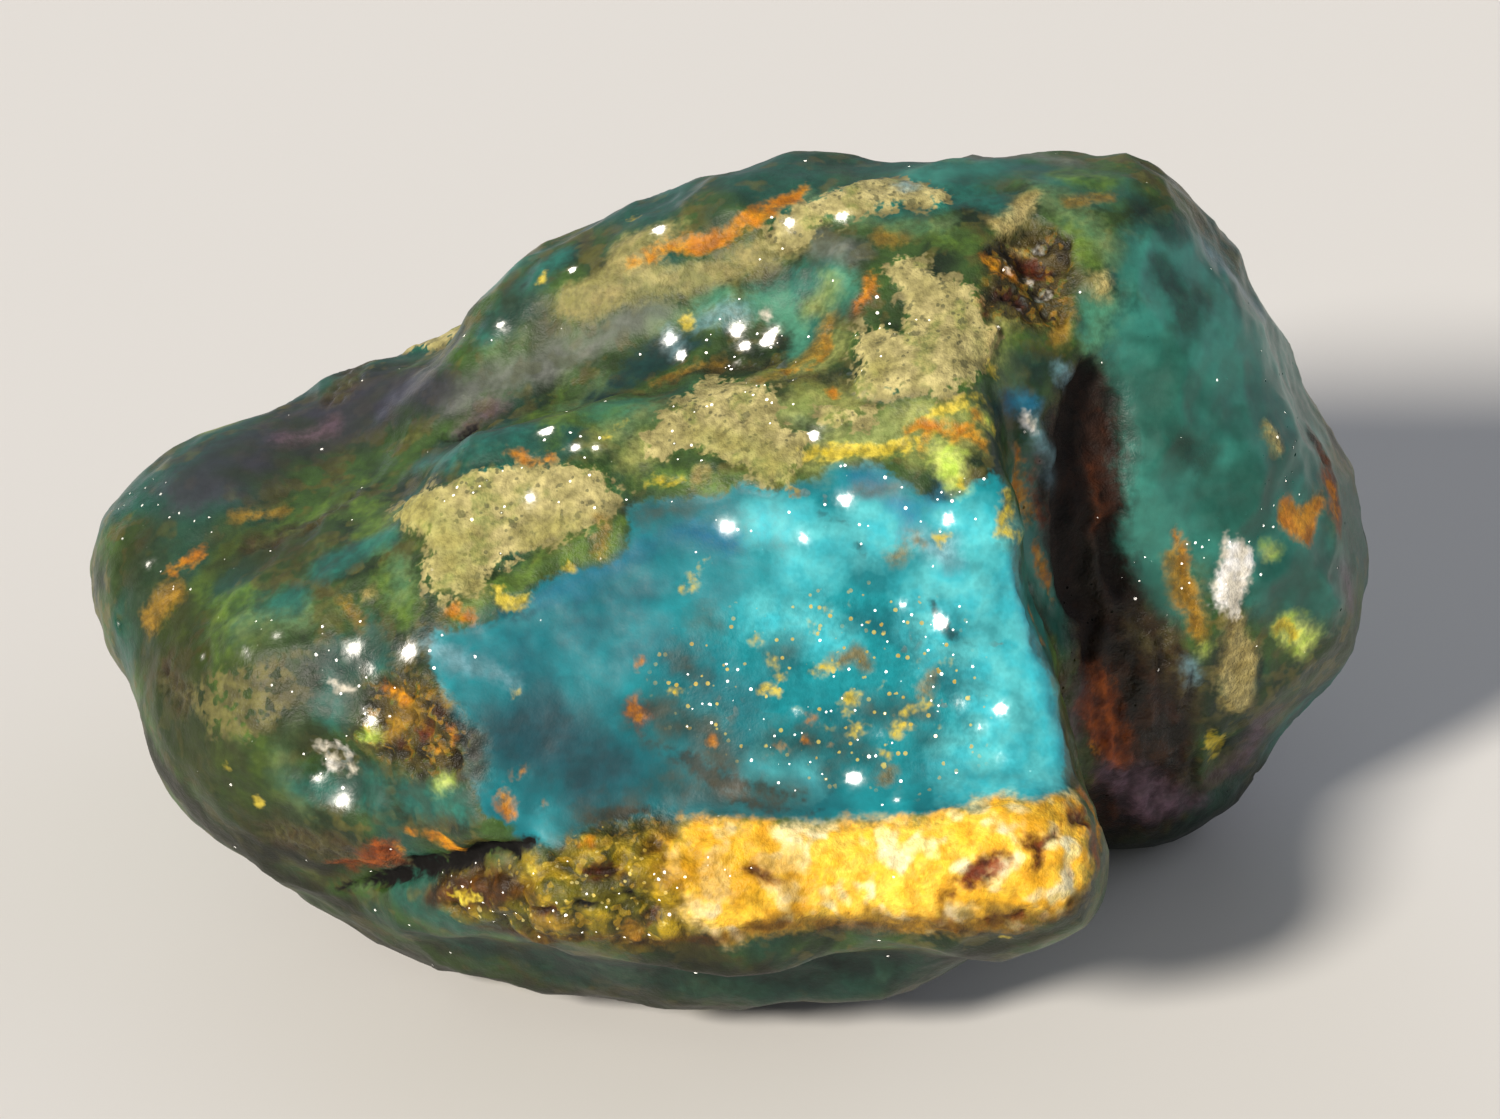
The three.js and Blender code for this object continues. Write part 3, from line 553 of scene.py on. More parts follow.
        [(11.4, 2.3, .2), (12.1, 1.6, .25), (12.3, .7, .2)], [(10.2, 13.9, .1),
        (10.3, 12.8, .14), (10.5, 11.8, .1)]],
    "rust": [[(-10.2, 5.1, .22)], [(-11.9, 1.1, .3), (-11.5, .6, .38), (-12.4, .4, .3),
        (-13.6, .3, .2)], [(4.9, 20.1, .18), (4.7, 19.5, .22), (4.4, 19, .14)], [(20.6, 15, .4),
        (21, 14.2, .4), (21.2, 13.5, .3)], [(7.8, .15, .18), (8.3, .4, .28), (8.8, .7, .14)],
        [(9.7, 1.3, .22), (10.1, 1.3, .22), (9.9, .7, .1)], [(10.4, 1.45, .1), (11.2, 1.9, .1),
        (11.8, 2.2, .06)], [(12.6, 6.9, .4), (12.8, 5.8, .6), (13.2, 4.7, .6), (13.9, 3.8, .4)],
        [(8.3, 19.4, .15), (8.6, 19, .12)], [(12.7, 11.9, .4), (12.6, 13.6, .45),
        (12.7, 15.2, .4)]],
    "shade": [[(12.2, 17.3, .5), (12, 16.2, .9), (11.9, 14.6, 1.1), (11.6, 13, 1),
        (11.6, 11.6, .95), (11.8, 10.4, .8), (12, 9.4, .7), (12.4, 8.4, .5), (12.5, 7.4, .3)],
        [(12.9, 16, .5), (12.8, 13.5, .6), (13, 11.5, .5), (13.4, 9.6, .45)]],
    # crack: near black, painted shade in the slit under the left lobe and in thin cracks
    "crackShade": [[(-13.4, -.6, .08), (-11.6, -.1, .26), (-10.4, .2, .36), (-9.2, .5, .34),
        (-8.2, .8, .34), (-7.2, 1.1, .3), (-6.4, 1.4, .08)], [(-4.9, -.6, .06), (-4.1, -.6, .14),
        (-3.4, -.3, .12)], [(9.6, 11, .05), (9.75, 10.4, .13), (9.85, 9.9, .04)],
        [(-10.2, 15, .05), (-9.4, 15, .14), (-8.8, 15.4, .05)]],
    "vein": [[(-2.7, 4.7, .06), (-1.5, 4, .16), (-.8, 3.5, .2), (.2, 3.25, .16), (1.2, 3, .12),
        (2.4, 2.8, .06)], [(-4.6, 1.9, .12), (-3.9, 2.2, .2), (-3.1, 2.2, .16),
        (-2.2, 2.6, .06)], [(-1, 2.5, .1), (.2, 2.7, .14), (1.6, 2.5, .1), (3, 2.4, .06)],
        [(-7.6, 8.9, .05), (-6.4, 8.6, .12), (-5.2, 9.2, .06)], [(3, 12.2, .05), (4, 11.6, .1),
        (4.4, 10.8, .05)], [(6.6, 9.2, .04), (7.2, 8.2, .09), (8.2, 7.8, .04)]],
    "glitter": [[(-15.4, 7.6, .9), (-13.4, 7.6, 1.2), (-11.8, 7.4, .9), (-10.4, 7.4, .5)],
        [(-13.6, 3.4, .8), (-12.4, 4.6, .8)], [(-12, 5.6, .8)], [(-1.6, 18, .8), (.4, 18.4, .9),
        (1.8, 18.2, .8)], [(-.8, 6, .8), (1.8, 5.2, 1.2), (4.2, 5.6, 1.4), (6.4, 5.8, 1.3),
        (6.6, 8.2, 1)], [(1.6, 3.9, .7), (4, 3.7, .8), (7.6, 3.5, .8)], [(.8, 11.9, .8),
        (3.6, 12.5, .9), (7, 12.3, .8)], [(-6.2, 14.9, .6), (-4.6, 14.5, .6)], [(-9, -.8, .8),
        (-6, -.6, 1), (-3, -.4, 1), (0, .4, 1)], [(-8.6, 12.6, .9), (-5.6, 12.8, 1),
        (6, 18.6, 1)]],
    "pit": [[(7.5, .05, .14), (7.9, .2, .26), (8.4, .45, .26), (8.9, .75, .16)],
        [(9.6, 1.35, .2), (10.1, 1.35, .26), (9.9, .7, .16)], [(10.4, 1.45, .14),
        (11.2, 1.9, .14), (11.8, 2.2, .1)], [(.6, .35, .16), (1.4, 0, .2)], [(8.6, -1.25, .16),
        (9.6, -1.2, .2)], [(6.9, -.55, .12), (7.3, -.5, .14)], [(11.3, .2, .12)],
        [(-6.6, -.9, .16), (-5.8, -.7, .2)], [(-4.6, .4, .14), (-3.6, .6, .18)],
        [(-2.6, -1.1, .2)], [(-10.2, 4.9, .2)], [(-9.6, 5.5, .18)], [(-10.9, 4.4, .2)],
        [(9.9, 20.9, .25), (10.6, 20.4, .2)], [(9.3, 19.7, .2), (9.9, 19.4, .16)]],
    "fern": [[(-2.6, 18.7, .5), (-.6, 19.1, .6), (.6, 19.4, .5)], [(-3.8, 15, .5),
        (-2.8, 15.6, .5)], [(-5.4, 16, .5), (-4.4, 16.6, .4)], [(10.6, 23.2, .5),
        (12.2, 22.2, .5), (12.9, 21.2, .4)], [(5.4, 21.9, .35), (7.2, 22.1, .4)],
        [(-8.2, 18, .4), (-7.2, 18.9, .45), (-6.8, 19.9, .3)], [(1.8, 14.6, .4), (3, 14.9, .35),
        (4.4, 14.7, .3)], [(-16.4, 8.4, .7), (-14.8, 8.8, .6)], [(-11.2, 10.4, .5),
        (-10.9, 9.6, .4)], [(8.9, 16.4, .35), (9.5, 17.2, .4)], [(12.4, 19.4, .4),
        (12.2, 18.3, .4)], [(-14.6, 5, .4), (-15.2, 3.6, .6), (-14.6, 2.2, .4)],
        [(-3.2, 20.2, .4), (-1.2, 20.4, .4)], [(2.8, 22.9, .5), (4.6, 22.3, .5)]],
    "murk": [[(-2.6, 5.6, .7), (-1.2, 5.1, .9), (-.2, 4.2, .8)], [(-2, 3.2, .6), (-.4, 2.9, .7),
        (.8, 3, .6), (2, 2.8, .5)], [(1.4, 4.5, .6), (2.6, 4.6, .6), (3.8, 4.4, .5),
        (4.6, 4, .4)], [(3.3, 3.7, .35)], [(6.6, 4.6, .25)], [(-3.2, 2.4, .35), (-4.4, 2.1, .4),
        (-5.5, 1.7, .3)], [(-1.5, 7.4, .3), (-1.2, 7, .25)], [(1.7, 7.6, .3)], [(4.9, 5.6, .35),
        (6.2, 5.6, .3)], [(-3, 12.3, .3), (-2.2, 12.4, .3), (-1.6, 12.5, .2)], [(-.8, 8.6, .25)]],
}

# and on the other sheets
farLines = {
    "lobeTeal": {
        "right": [[(-4, 12, 3.5), (0, 14, 4), (4, 12, 3.5)]],
    },
    "teal": {
        "back": [[(-14, 8, 1.5), (-10, 11, 2)], [(3, 6, 1.5), (6, 9, 1.2)], [(-2, 16, 1.6),
            (2, 18, 1.2)]],
    },
    "inkGreen": {
        "back": [[(8, 6, 1.2), (9, 9, .8)], [(-6, 5, .8), (-8, 4, 1.2)]],
    },
    "mud": {
        "back": [[(-12, 4, .9), (-9, 6, .7), (-7.5, 9, .4)], [(12, 10, .8), (14, 13, .6)]],
    },
    "crust": {
        "back": [[(-4, 13, 1), (-1.5, 13.8, 1.7), (.5, 13, 1.3), (2.6, 11.4, 1),
            (3.2, 10.2, .5)], [(9, 14, .8), (11, 12, 1), (11.4, 10.8, .5)], [(-12, 12, .7),
            (-13.5, 10.5, .6)]],
        "top": [[(2, 8, .7), (5, 9.4, 1), (7, 9, .6)]],
    },
    "ochre": {
        "back": [[(-9, 8, .35), (-7.5, 10, .3), (-6, 11, .25)], [(6, 12, .3), (8, 11.5, .3)]],
    },
    "orange": {
        "back": [[(-11, 7, .2), (-8.5, 7.6, .25), (-7.2, 9.6, .12)], [(5, 13.6, .2),
            (7.5, 13, .15)]],
    },
    "ember": {
        "back": [[(-9.6, 7.2, .2), (-8.2, 8.4, .3), (-7.6, 9.4, .2)]],
    },
    "rust": {
        "back": [[(-12, 6, .5), (-9.5, 6.8, .4)], [(13, 8, .4), (12, 6, .3)]],
    },
    # crack: painted shade in thin cracks on the back
    "crackShade": {
        "back": [[(-12, 5, .06), (-9, 6.6, .14), (-7.5, 9.5, .1), (-7, 12, .05)], [(2, 3, .05),
            (4.5, 7, .12), (5.5, 11, .05)]],
    },
    "glitter": {
        "back": [[(-8, 9, 1.2), (-4, 11, 1.4)], [(5, 7, 1.4), (8, 10, 1)]],
        "right": [[(-3, 9, 1.2), (1, 11, 1.2)]],
        "left": [[(-3, 8, 1.2), (2, 9, 1.2)]],
    },
}

# what wanders over the sides that the front sheet does not reach:
# how many strokes a sheet, steps, stride and radius in mm
wanders = {
    "fern": (2, 6, 1.7, 1.3), "moss": (3, 5, 1.6, 1), "teal": (2, 6, 2, 1.6),
    "mud": (1, 6, 1.3, .6), "sage": (1, 5, 1.3, .8), "crust": (3, 6, 1.2, 1.1),
    "rust": (2, 6, .8, .2), "ochre": (2, 4, .9, .25), "orange": (2, 5, .6, .14),
    "inkGreen": (3, 4, 1.2, .6), "lime": (1, 2, .6, .4), "yellow": (5, 1, .5, .14),
    # the crack strokes that wander here are thin lines of painted shade
    "chalkAndSparkle": (2, 1, .4, .22), "crackShade": (2, 8, 1.1, .09), "glitter": (2, 2, 2, 1.1),
}

# fresh bites in the skin: sheet, across, up, radius and depth in mm, and what shows in them
bites = [
    ("back", -9, 9, 5.2, 1, "fresh"), ("back", 3.5, 14, 4.6, .9, "fresh"),
    ("back", 9, 6, 4.2, .8, "honey"), ("back", -2.5, 5.5, 4.2, .7, "fresh"),
    ("back", 13, 12.5, 3.4, .7, "fresh"), ("back", -15.5, 6, 3.4, .7, "fresh"),
    ("back", -2, 18.5, 3.4, .45, "fresh"), ("back", 18, 6, 2.8, .4, "honey"),
    ("right", -4, 7, 4, .8, "fresh"), ("right", 4.5, 13, 4, .8, "fresh"),
    ("right", 6, 5, 3.2, .7, "honey"), ("left", 3, 8, 3.6, .7, "fresh"),
    ("left", -4, 5, 3.2, .6, "honey"), ("left", 9, 13, 3, .5, "fresh"),
    ("top", 8, 13, 3, .45, "fresh"), ("top", -8, 10, 3.2, .45, "honey"),
    ("under", -10, 3, 4.4, .5, "honey"), ("under", 2, -5, 4.8, .5, "fresh"),
    ("under", 12, 4, 3.6, .4, "honey"),
]

# small smooth chips that catch the lamp: across, up, width in mm
glints = [
    (-20.3, 10.5, .35), (-21.4, 8.4, .3), (-12.6, 7.7, .4), (-10.7, 7.6, .5), (-12, 7, .45),
    (-12, 5.3, .5), (-13.1, 2.5, .45), (-18, 7.3, .15), (-16.4, 7.5, .18), (-15.3, 8.1, .2),
    (-2.5, 22.1, .6), (-5.5, 20.7, .4), (2, 22.2, .5), (3.8, 22.4, .65), (-8, 18.8, .3),
    (-2.1, 18.2, .45), (-1.7, 17.6, .45), (.25, 18.5, .5), (.5, 17.95, .65), (1.2, 18.1, .65),
    (1.5, 18.5, .3), (-6.2, 15, .55), (-5.2, 14.4, .3), (-4.5, 14.4, .3), (2.8, 14.8, .5),
    (-.1, 11.8, .4), (2.4, 11.4, .28), (3.8, 12.6, .55), (7.2, 12, .4), (6.9, 8.6, .6),
    (9, 5.7, .6), (8.3, 5.1, .35), (4.1, 3.4, .5), (8.9, 4.1, .22), (5.5, 2.7, .18),
    (-6.7, 12.7, .45), (4.9, 4.85, .22), (7.6, 5.9, .2), (5.7, 9.2, .15), (2.2, 5.6, .2),
    (9, 18.5, .3), (-13.9, 3.3, .3),
]


def sheetWays(sheet):
    turn, tilt = sheets[sheet]
    across, ahead = wayTo(turn + 90, 0), -wayTo(turn, tilt)
    return across, across.cross(ahead), ahead


def dropDown(tree, sheet, u, v):
    across, up, ahead = sheetWays(sheet)
    return tree.ray_cast(across * u + up * v - ahead * stone["sheetFar"], ahead)[0]


def sides(outline):
    return zip(outline, outline[1:] + outline[:1])


def insideOutline(u, v, outline):
    inside = False
    for (ua, va), (ub, vb) in sides(outline):
        if (va > v) != (vb > v) and u < (ub - ua) * (v - va) / (vb - va) + ua:
            inside = not inside
    return inside


def edgeGap(u, v, outline):
    gap = math.inf
    for (ua, va), (ub, vb) in sides(outline):
        run, rise = ub - ua, vb - va
        along = ((u - ua) * run + (v - va) * rise) / (run * run + rise * rise)
        along = min(1, max(0, along))
        gap = min(gap, math.hypot(u - ua - run * along, v - va - rise * along))
    return gap


def patchDots(tree, outline):
    dots, step = [], stone["dotGap"]
    us, vs = [p[0] for p in outline], [p[1] for p in outline]
    for u in np.arange(min(us), max(us) + step, step):
        for v in np.arange(min(vs), max(vs) + step, step):
            if insideOutline(u, v, outline):
                spot = dropDown(tree, "front", u, v)
                if spot:
                    inward = min(edgeGap(u, v, outline), stone["dotMost"])
                    dots.append((spot, inward + stone["dotSpare"]))
    return dots


def lineDots(tree, sheet, line):
    dots = []
    for start, end in zip(line, line[1:] or line):
        length = math.hypot(end[0] - start[0], end[1] - start[1])
        thin = max(min(start[2], end[2]), stone["dotLeast"])
        steps = max(1, int(length / (stone["lineGap"] * thin)))
        for k in range(steps + 1):
            u, v, radius = (start[i] + (end[i] - start[i]) * k / steps for i in range(3))
            spot = dropDown(tree, sheet, u, v)
            if spot:
                dots.append((spot, radius))
    return dots


def wanderDots(tree, points, name, dice):
    # only where the skin turns away from the front sheet
    ahead = sheetWays("front")[2]
    howMany, steps, stride, radius = wanders[name]
    dots, free = [], stone["wander"]
    for sheet in ("back", "left", "right", "top", "under"):
        across, up = (points @ np.array(way) for way in sheetWays(sheet)[:2])
        for k in range(howMany):
            u = dice.uniform(across.min() * free["wide"], across.max() * free["wide"])
            v = dice.uniform(up.min() * free["low"], up.max() * free["high"])
            heading, line = dice.uniform(0, 6.28), []
            for step in range(steps + 1):
                line.append((u, v, radius * dice.uniform(free["thin"], free["thick"])))
                heading += dice.gauss(0, free["sway"])
                u += stride * math.cos(heading)
                v += stride * math.sin(heading) * free["flat"]
            dots += lineDots(tree, sheet, line)
    return [dot for dot in dots if tree.find_nearest(dot[0])[1].dot(ahead) > free["turned"]]


def fieldOf(dots, cloud, count):
    # how deep in the strokes each point lies, in mm, and minus outside them
    field = np.full(count, -stone["reach"])
    for spot, radius in dots:
        near = cloud.find_range(spot, radius + stone["reach"] * 0.5)
        if near:
            which = np.fromiter((n[1] for n in near), dtype=np.int64)
            far = np.fromiter((n[2] for n in near), dtype=np.float64)
            field[which] = np.maximum(field[which], radius - far)
    return field


def makeFields(points, tree):
    dice = random.Random(stone["seed"])
    cloud = KDTree(len(points))
    for i, p in enumerate(points):
        cloud.insert(p, i)
    cloud.balance()
    fields = {}
    for name in list(patches) + [n for n in lines if n not in patches]:
        dots = [dot for outline in patches.get(name, []) for dot in patchDots(tree, outline)]
        for sheet, strokes in (("front", lines.get(name, [])), *farLines.get(name, {}).items()):
            for line in strokes:
                dots += lineDots(tree, sheet, line)
        if name in wanders:
            dots += wanderDots(tree, points, name, dice)
        fields[name] = fieldOf(dots, cloud, len(points))
    # painted shade at the foot, deeper the lower a point lies
    depth, loss = stone["footShadeRamp"]
    foot = np.clip(depth - points[:, 2] * loss, -stone["reach"], 1)
    fields["footShade"] = np.maximum(fields["footShade"], foot)
    return fields


def warped(points):
    size, wander, (finer, share) = stone["warpSize"], stone["warp"], stone["warpFine"]
    moved = np.empty_like(points)
    for i, p in enumerate(points):
        q = Vector(p) / size
        push = noise.noise_vector(q) * wander + noise.noise_vector(q * finer) * wander * share
        moved[i] = (p[0] + push.x, p[1] + push.y, p[2] + push.z)
    return moved


def thinBack(piece):
    # the underside and the far side need fewer points
    onlySelect(piece)
    for low, ratio in ((True, stone["underKept"]), (False, stone["backKept"])):
        bpy.ops.object.mode_set(mode="EDIT")
        bpy.ops.mesh.select_all(action="DESELECT")
        bpy.ops.object.mode_set(mode="OBJECT")
        for face in piece.data.polygons:
            under = face.normal.z < -stone["flatTurn"]
            behind = face.normal.y > stone["backTurn"] and face.normal.z < stone["flatTurn"]
            face.select = under if low else (behind and not under)
        bpy.ops.object.mode_set(mode="EDIT")
        bpy.ops.mesh.select_mode(type="FACE")
        bpy.ops.mesh.decimate(ratio=ratio)
        bpy.ops.object.mode_set(mode="OBJECT")
    bpy.ops.object.shade_smooth()


thinBack(amber)
tree = stoneTree(amber)
points = readPoints(amber)
fields = makeFields(warped(points), tree)
triangles = sum(len(face.vertices) - 2 for face in amber.data.polygons)
print("amber:", len(points), "points,", triangles, "triangles")
print("amber: strokes dropped on", {k: int((f > 0).sum()) for k, f in fields.items()})


def ease(values, low, high):
    t = np.clip((values - low) / (high - low), 0, 1)
    return t * t * (3 - 2 * t)


def overPoints(points, weight, sample):
    out = np.zeros(len(points))
    for i in np.nonzero(weight > 0.01)[0]:
        out[i] = sample(Vector(points[i])) * weight[i]
    return out


def chips(p):
    (bendSize, bend), (finer, share) = stone["chipBend"], stone["chipSmall"]
    q = p / stone["chipSize"] + noise.noise_vector(p / bendSize) * bend
    broad, small = noise.voronoi(q)[0][0], noise.voronoi(q * finer)[0][0]
    return broad * broad - stone["chipMid"] + (small * small - stone["chipMid"]) * share


def ripples(p):
    return noise.fractal(p / stone["rippleSize"], 1.0, 2.0, 3)


def crumbs(size):
    def sample(p):
        near = noise.voronoi(p / size)[0]
        return noise.fractal(p / size, 0.8, 2.1, 4) * 0.8 - near[0] + 0.4
    return sample


def beads(size):
    def sample(p):
        near = noise.voronoi(p / size + noise.noise_vector(p / size) * 0.2)[0]
        return 0.5 - near[0] * near[0] * 1.6
    return sample


def cells(size):
    def sample(p):
        near = noise.voronoi(p / size)[0]
        return -min(1.0, (near[1] - near[0]) * 2.2)
    return sample


def fibres(p):
    return noise.turbulence(Vector((p.x * 1.6, p.y * 0.8, p.z * 0.35)), 4, False)


# what stands up or sinks in: field, where its edge starts and ends, height in mm
rises = [
    ("crust", -0.05, 0.3, 0.12), ("tan", -0.12, 0.18, 0.10), ("shade", -0.1, 0.3, -0.30),
    ("yellow", -0.12, 0.18, -0.08), ("orange", -0.12, 0.18, -0.08),
    ("crackShade", -0.12, 0.16, -0.26), ("pit", -0.1, 0.15, -0.22),
]

# what is uneven: field, height in mm, and how
textures = [
    ("crust", 0.08, crumbs(0.5)), ("tan", 0.07, crumbs(0.7)), ("gold", 0.20, crumbs(0.9)),
    ("comb", 0.34, beads(0.85)), ("earth", 0.20, cells(0.75)), ("frost", 0.10, cells(0.5)),
    ("rust", 0.12, crumbs(0.6)), ("mud", 0.12, cells(0.7)), ("cleft", 0.16, fibres),
]


def makeRelief(points, fields):
    mask = {name: ease(field, *stone["shore"]) for name, field in fields.items()}
    mask["frost"] = mask["frost"] * (1 - stone["calmFrost"] * mask["face"])
    rough = np.maximum.reduce([mask[n] for n in ("crust", "tan", "gold", "comb", "earth")])
    calm = 1 - (1 - stone["calmFace"]) * np.maximum(mask["face"], mask["skySheen"])
    calm *= 1 - (1 - stone["calmEnd"]) * ease(-points[:, 0], *stone["leftEnd"])
    calm *= 1 - (1 - stone["calmCrust"]) * rough
    height = stone["chipDepth"] * overPoints(points, calm, chips)
    height += stone["rippleDepth"] * overPoints(points, 1 - stone["calmRipple"] * rough, ripples)
    for name, low, high, rise in rises:
        height += rise * ease(fields[name], low, high)
    for name, rise, sample in textures:
        height += rise * overPoints(points, mask[name], sample)
    return height


def biteSkin(points, normals, tree, fields):
    away = ease(normals @ np.array(sheetWays("front")[2]), *stone["biteAway"])
    (sway, often, swayBent), (pace, most, outside) = stone["ringWaver"], stone["biteShows"]
    for name in ("fresh", "honey"):
        fields[name] = np.full(len(points), -stone["reach"])
    for sheet, u, v, radius, depth, shows in bites:
        spot = dropDown(tree, sheet, u, v)
        if not spot:
            continue
        normal = tree.find_nearest(spot)[1]
        offset = points - np.array(spot)
        near = (np.linalg.norm(offset, axis=1) < radius * stone["biteReach"]) & (away > 0)
        height = offset[near] @ np.array(normal)
        flat = offset[near] - np.outer(height, normal)
        bent = np.array([noise.noise(Vector(p) / stone["biteBendSize"]) for p in points[near]])
        struck = Vector(stone["ringSide"]).cross(normal).normalized() * radius
        struck *= stone["ringStart"]
        rings = np.linalg.norm(flat - np.array(struck), axis=1)
        gap = np.linalg.norm(flat, axis=1) / radius * (1 + stone["biteBend"] * bent)
        waver = sway * np.sin(rings * often)
        waves = np.sin(rings * stone["ringPace"] + waver + swayBent * bent)
        waves *= ease(rings, 0.5, radius * stone["biteReach"])
        bowl = depth * (gap ** 2 - stone["biteRim"]) + stone["ringDepth"] * waves
        cut = np.maximum(height - bowl, 0) * (height > -radius * 0.5) * away[near]
        points[near] -= np.outer(cut, normal)
        shown = np.where(cut > 0, np.minimum(cut * pace, most), outside)
        fields[shows][near] = np.maximum(fields[shows][near], shown)


height = makeRelief(points, fields)
normals = readNormals(amber)
resting = ease(points[:, 2], *stone["foot"])
carved = points + normals * (height * resting)[:, None]
biteSkin(carved, normals, tree, fields)
carved[:, 2] = np.maximum(carved[:, 2], 0)
writePoints(amber, carved)
low, high = (round(float(edge), 2) for edge in (height.min(), height.max()))
print("amber: relief from", low, "to", high, "mm")


def glintWay():
    # half way between the lamp and the front sheet
    lamp = wayTo(*studio["lamps"]["key"][:2])
    return (lamp - sheetWays("front")[2]).normalized()


def polishGlints(piece):
    carved, tree = readPoints(piece), stoneTree(piece)
    polish = np.full(len(carved), -stone["reach"])
    for u, v, width in glints:
        spot = dropDown(tree, "front", u, v)
        if spot:
            far = np.linalg.norm(carved - np.array(spot), axis=1)
            bare = width * stone["glintShare"] + stone["glintSpare"]
            polish = np.maximum(polish, bare - far)
    return polish


fields["polish"] = polishGlints(amber)
for name, field in fields.items():
    store = amber.data.attributes.new(name, "FLOAT", "POINT")
    store.data.foreach_set("value", field.astype(np.float32))
print("amber: glints polished")


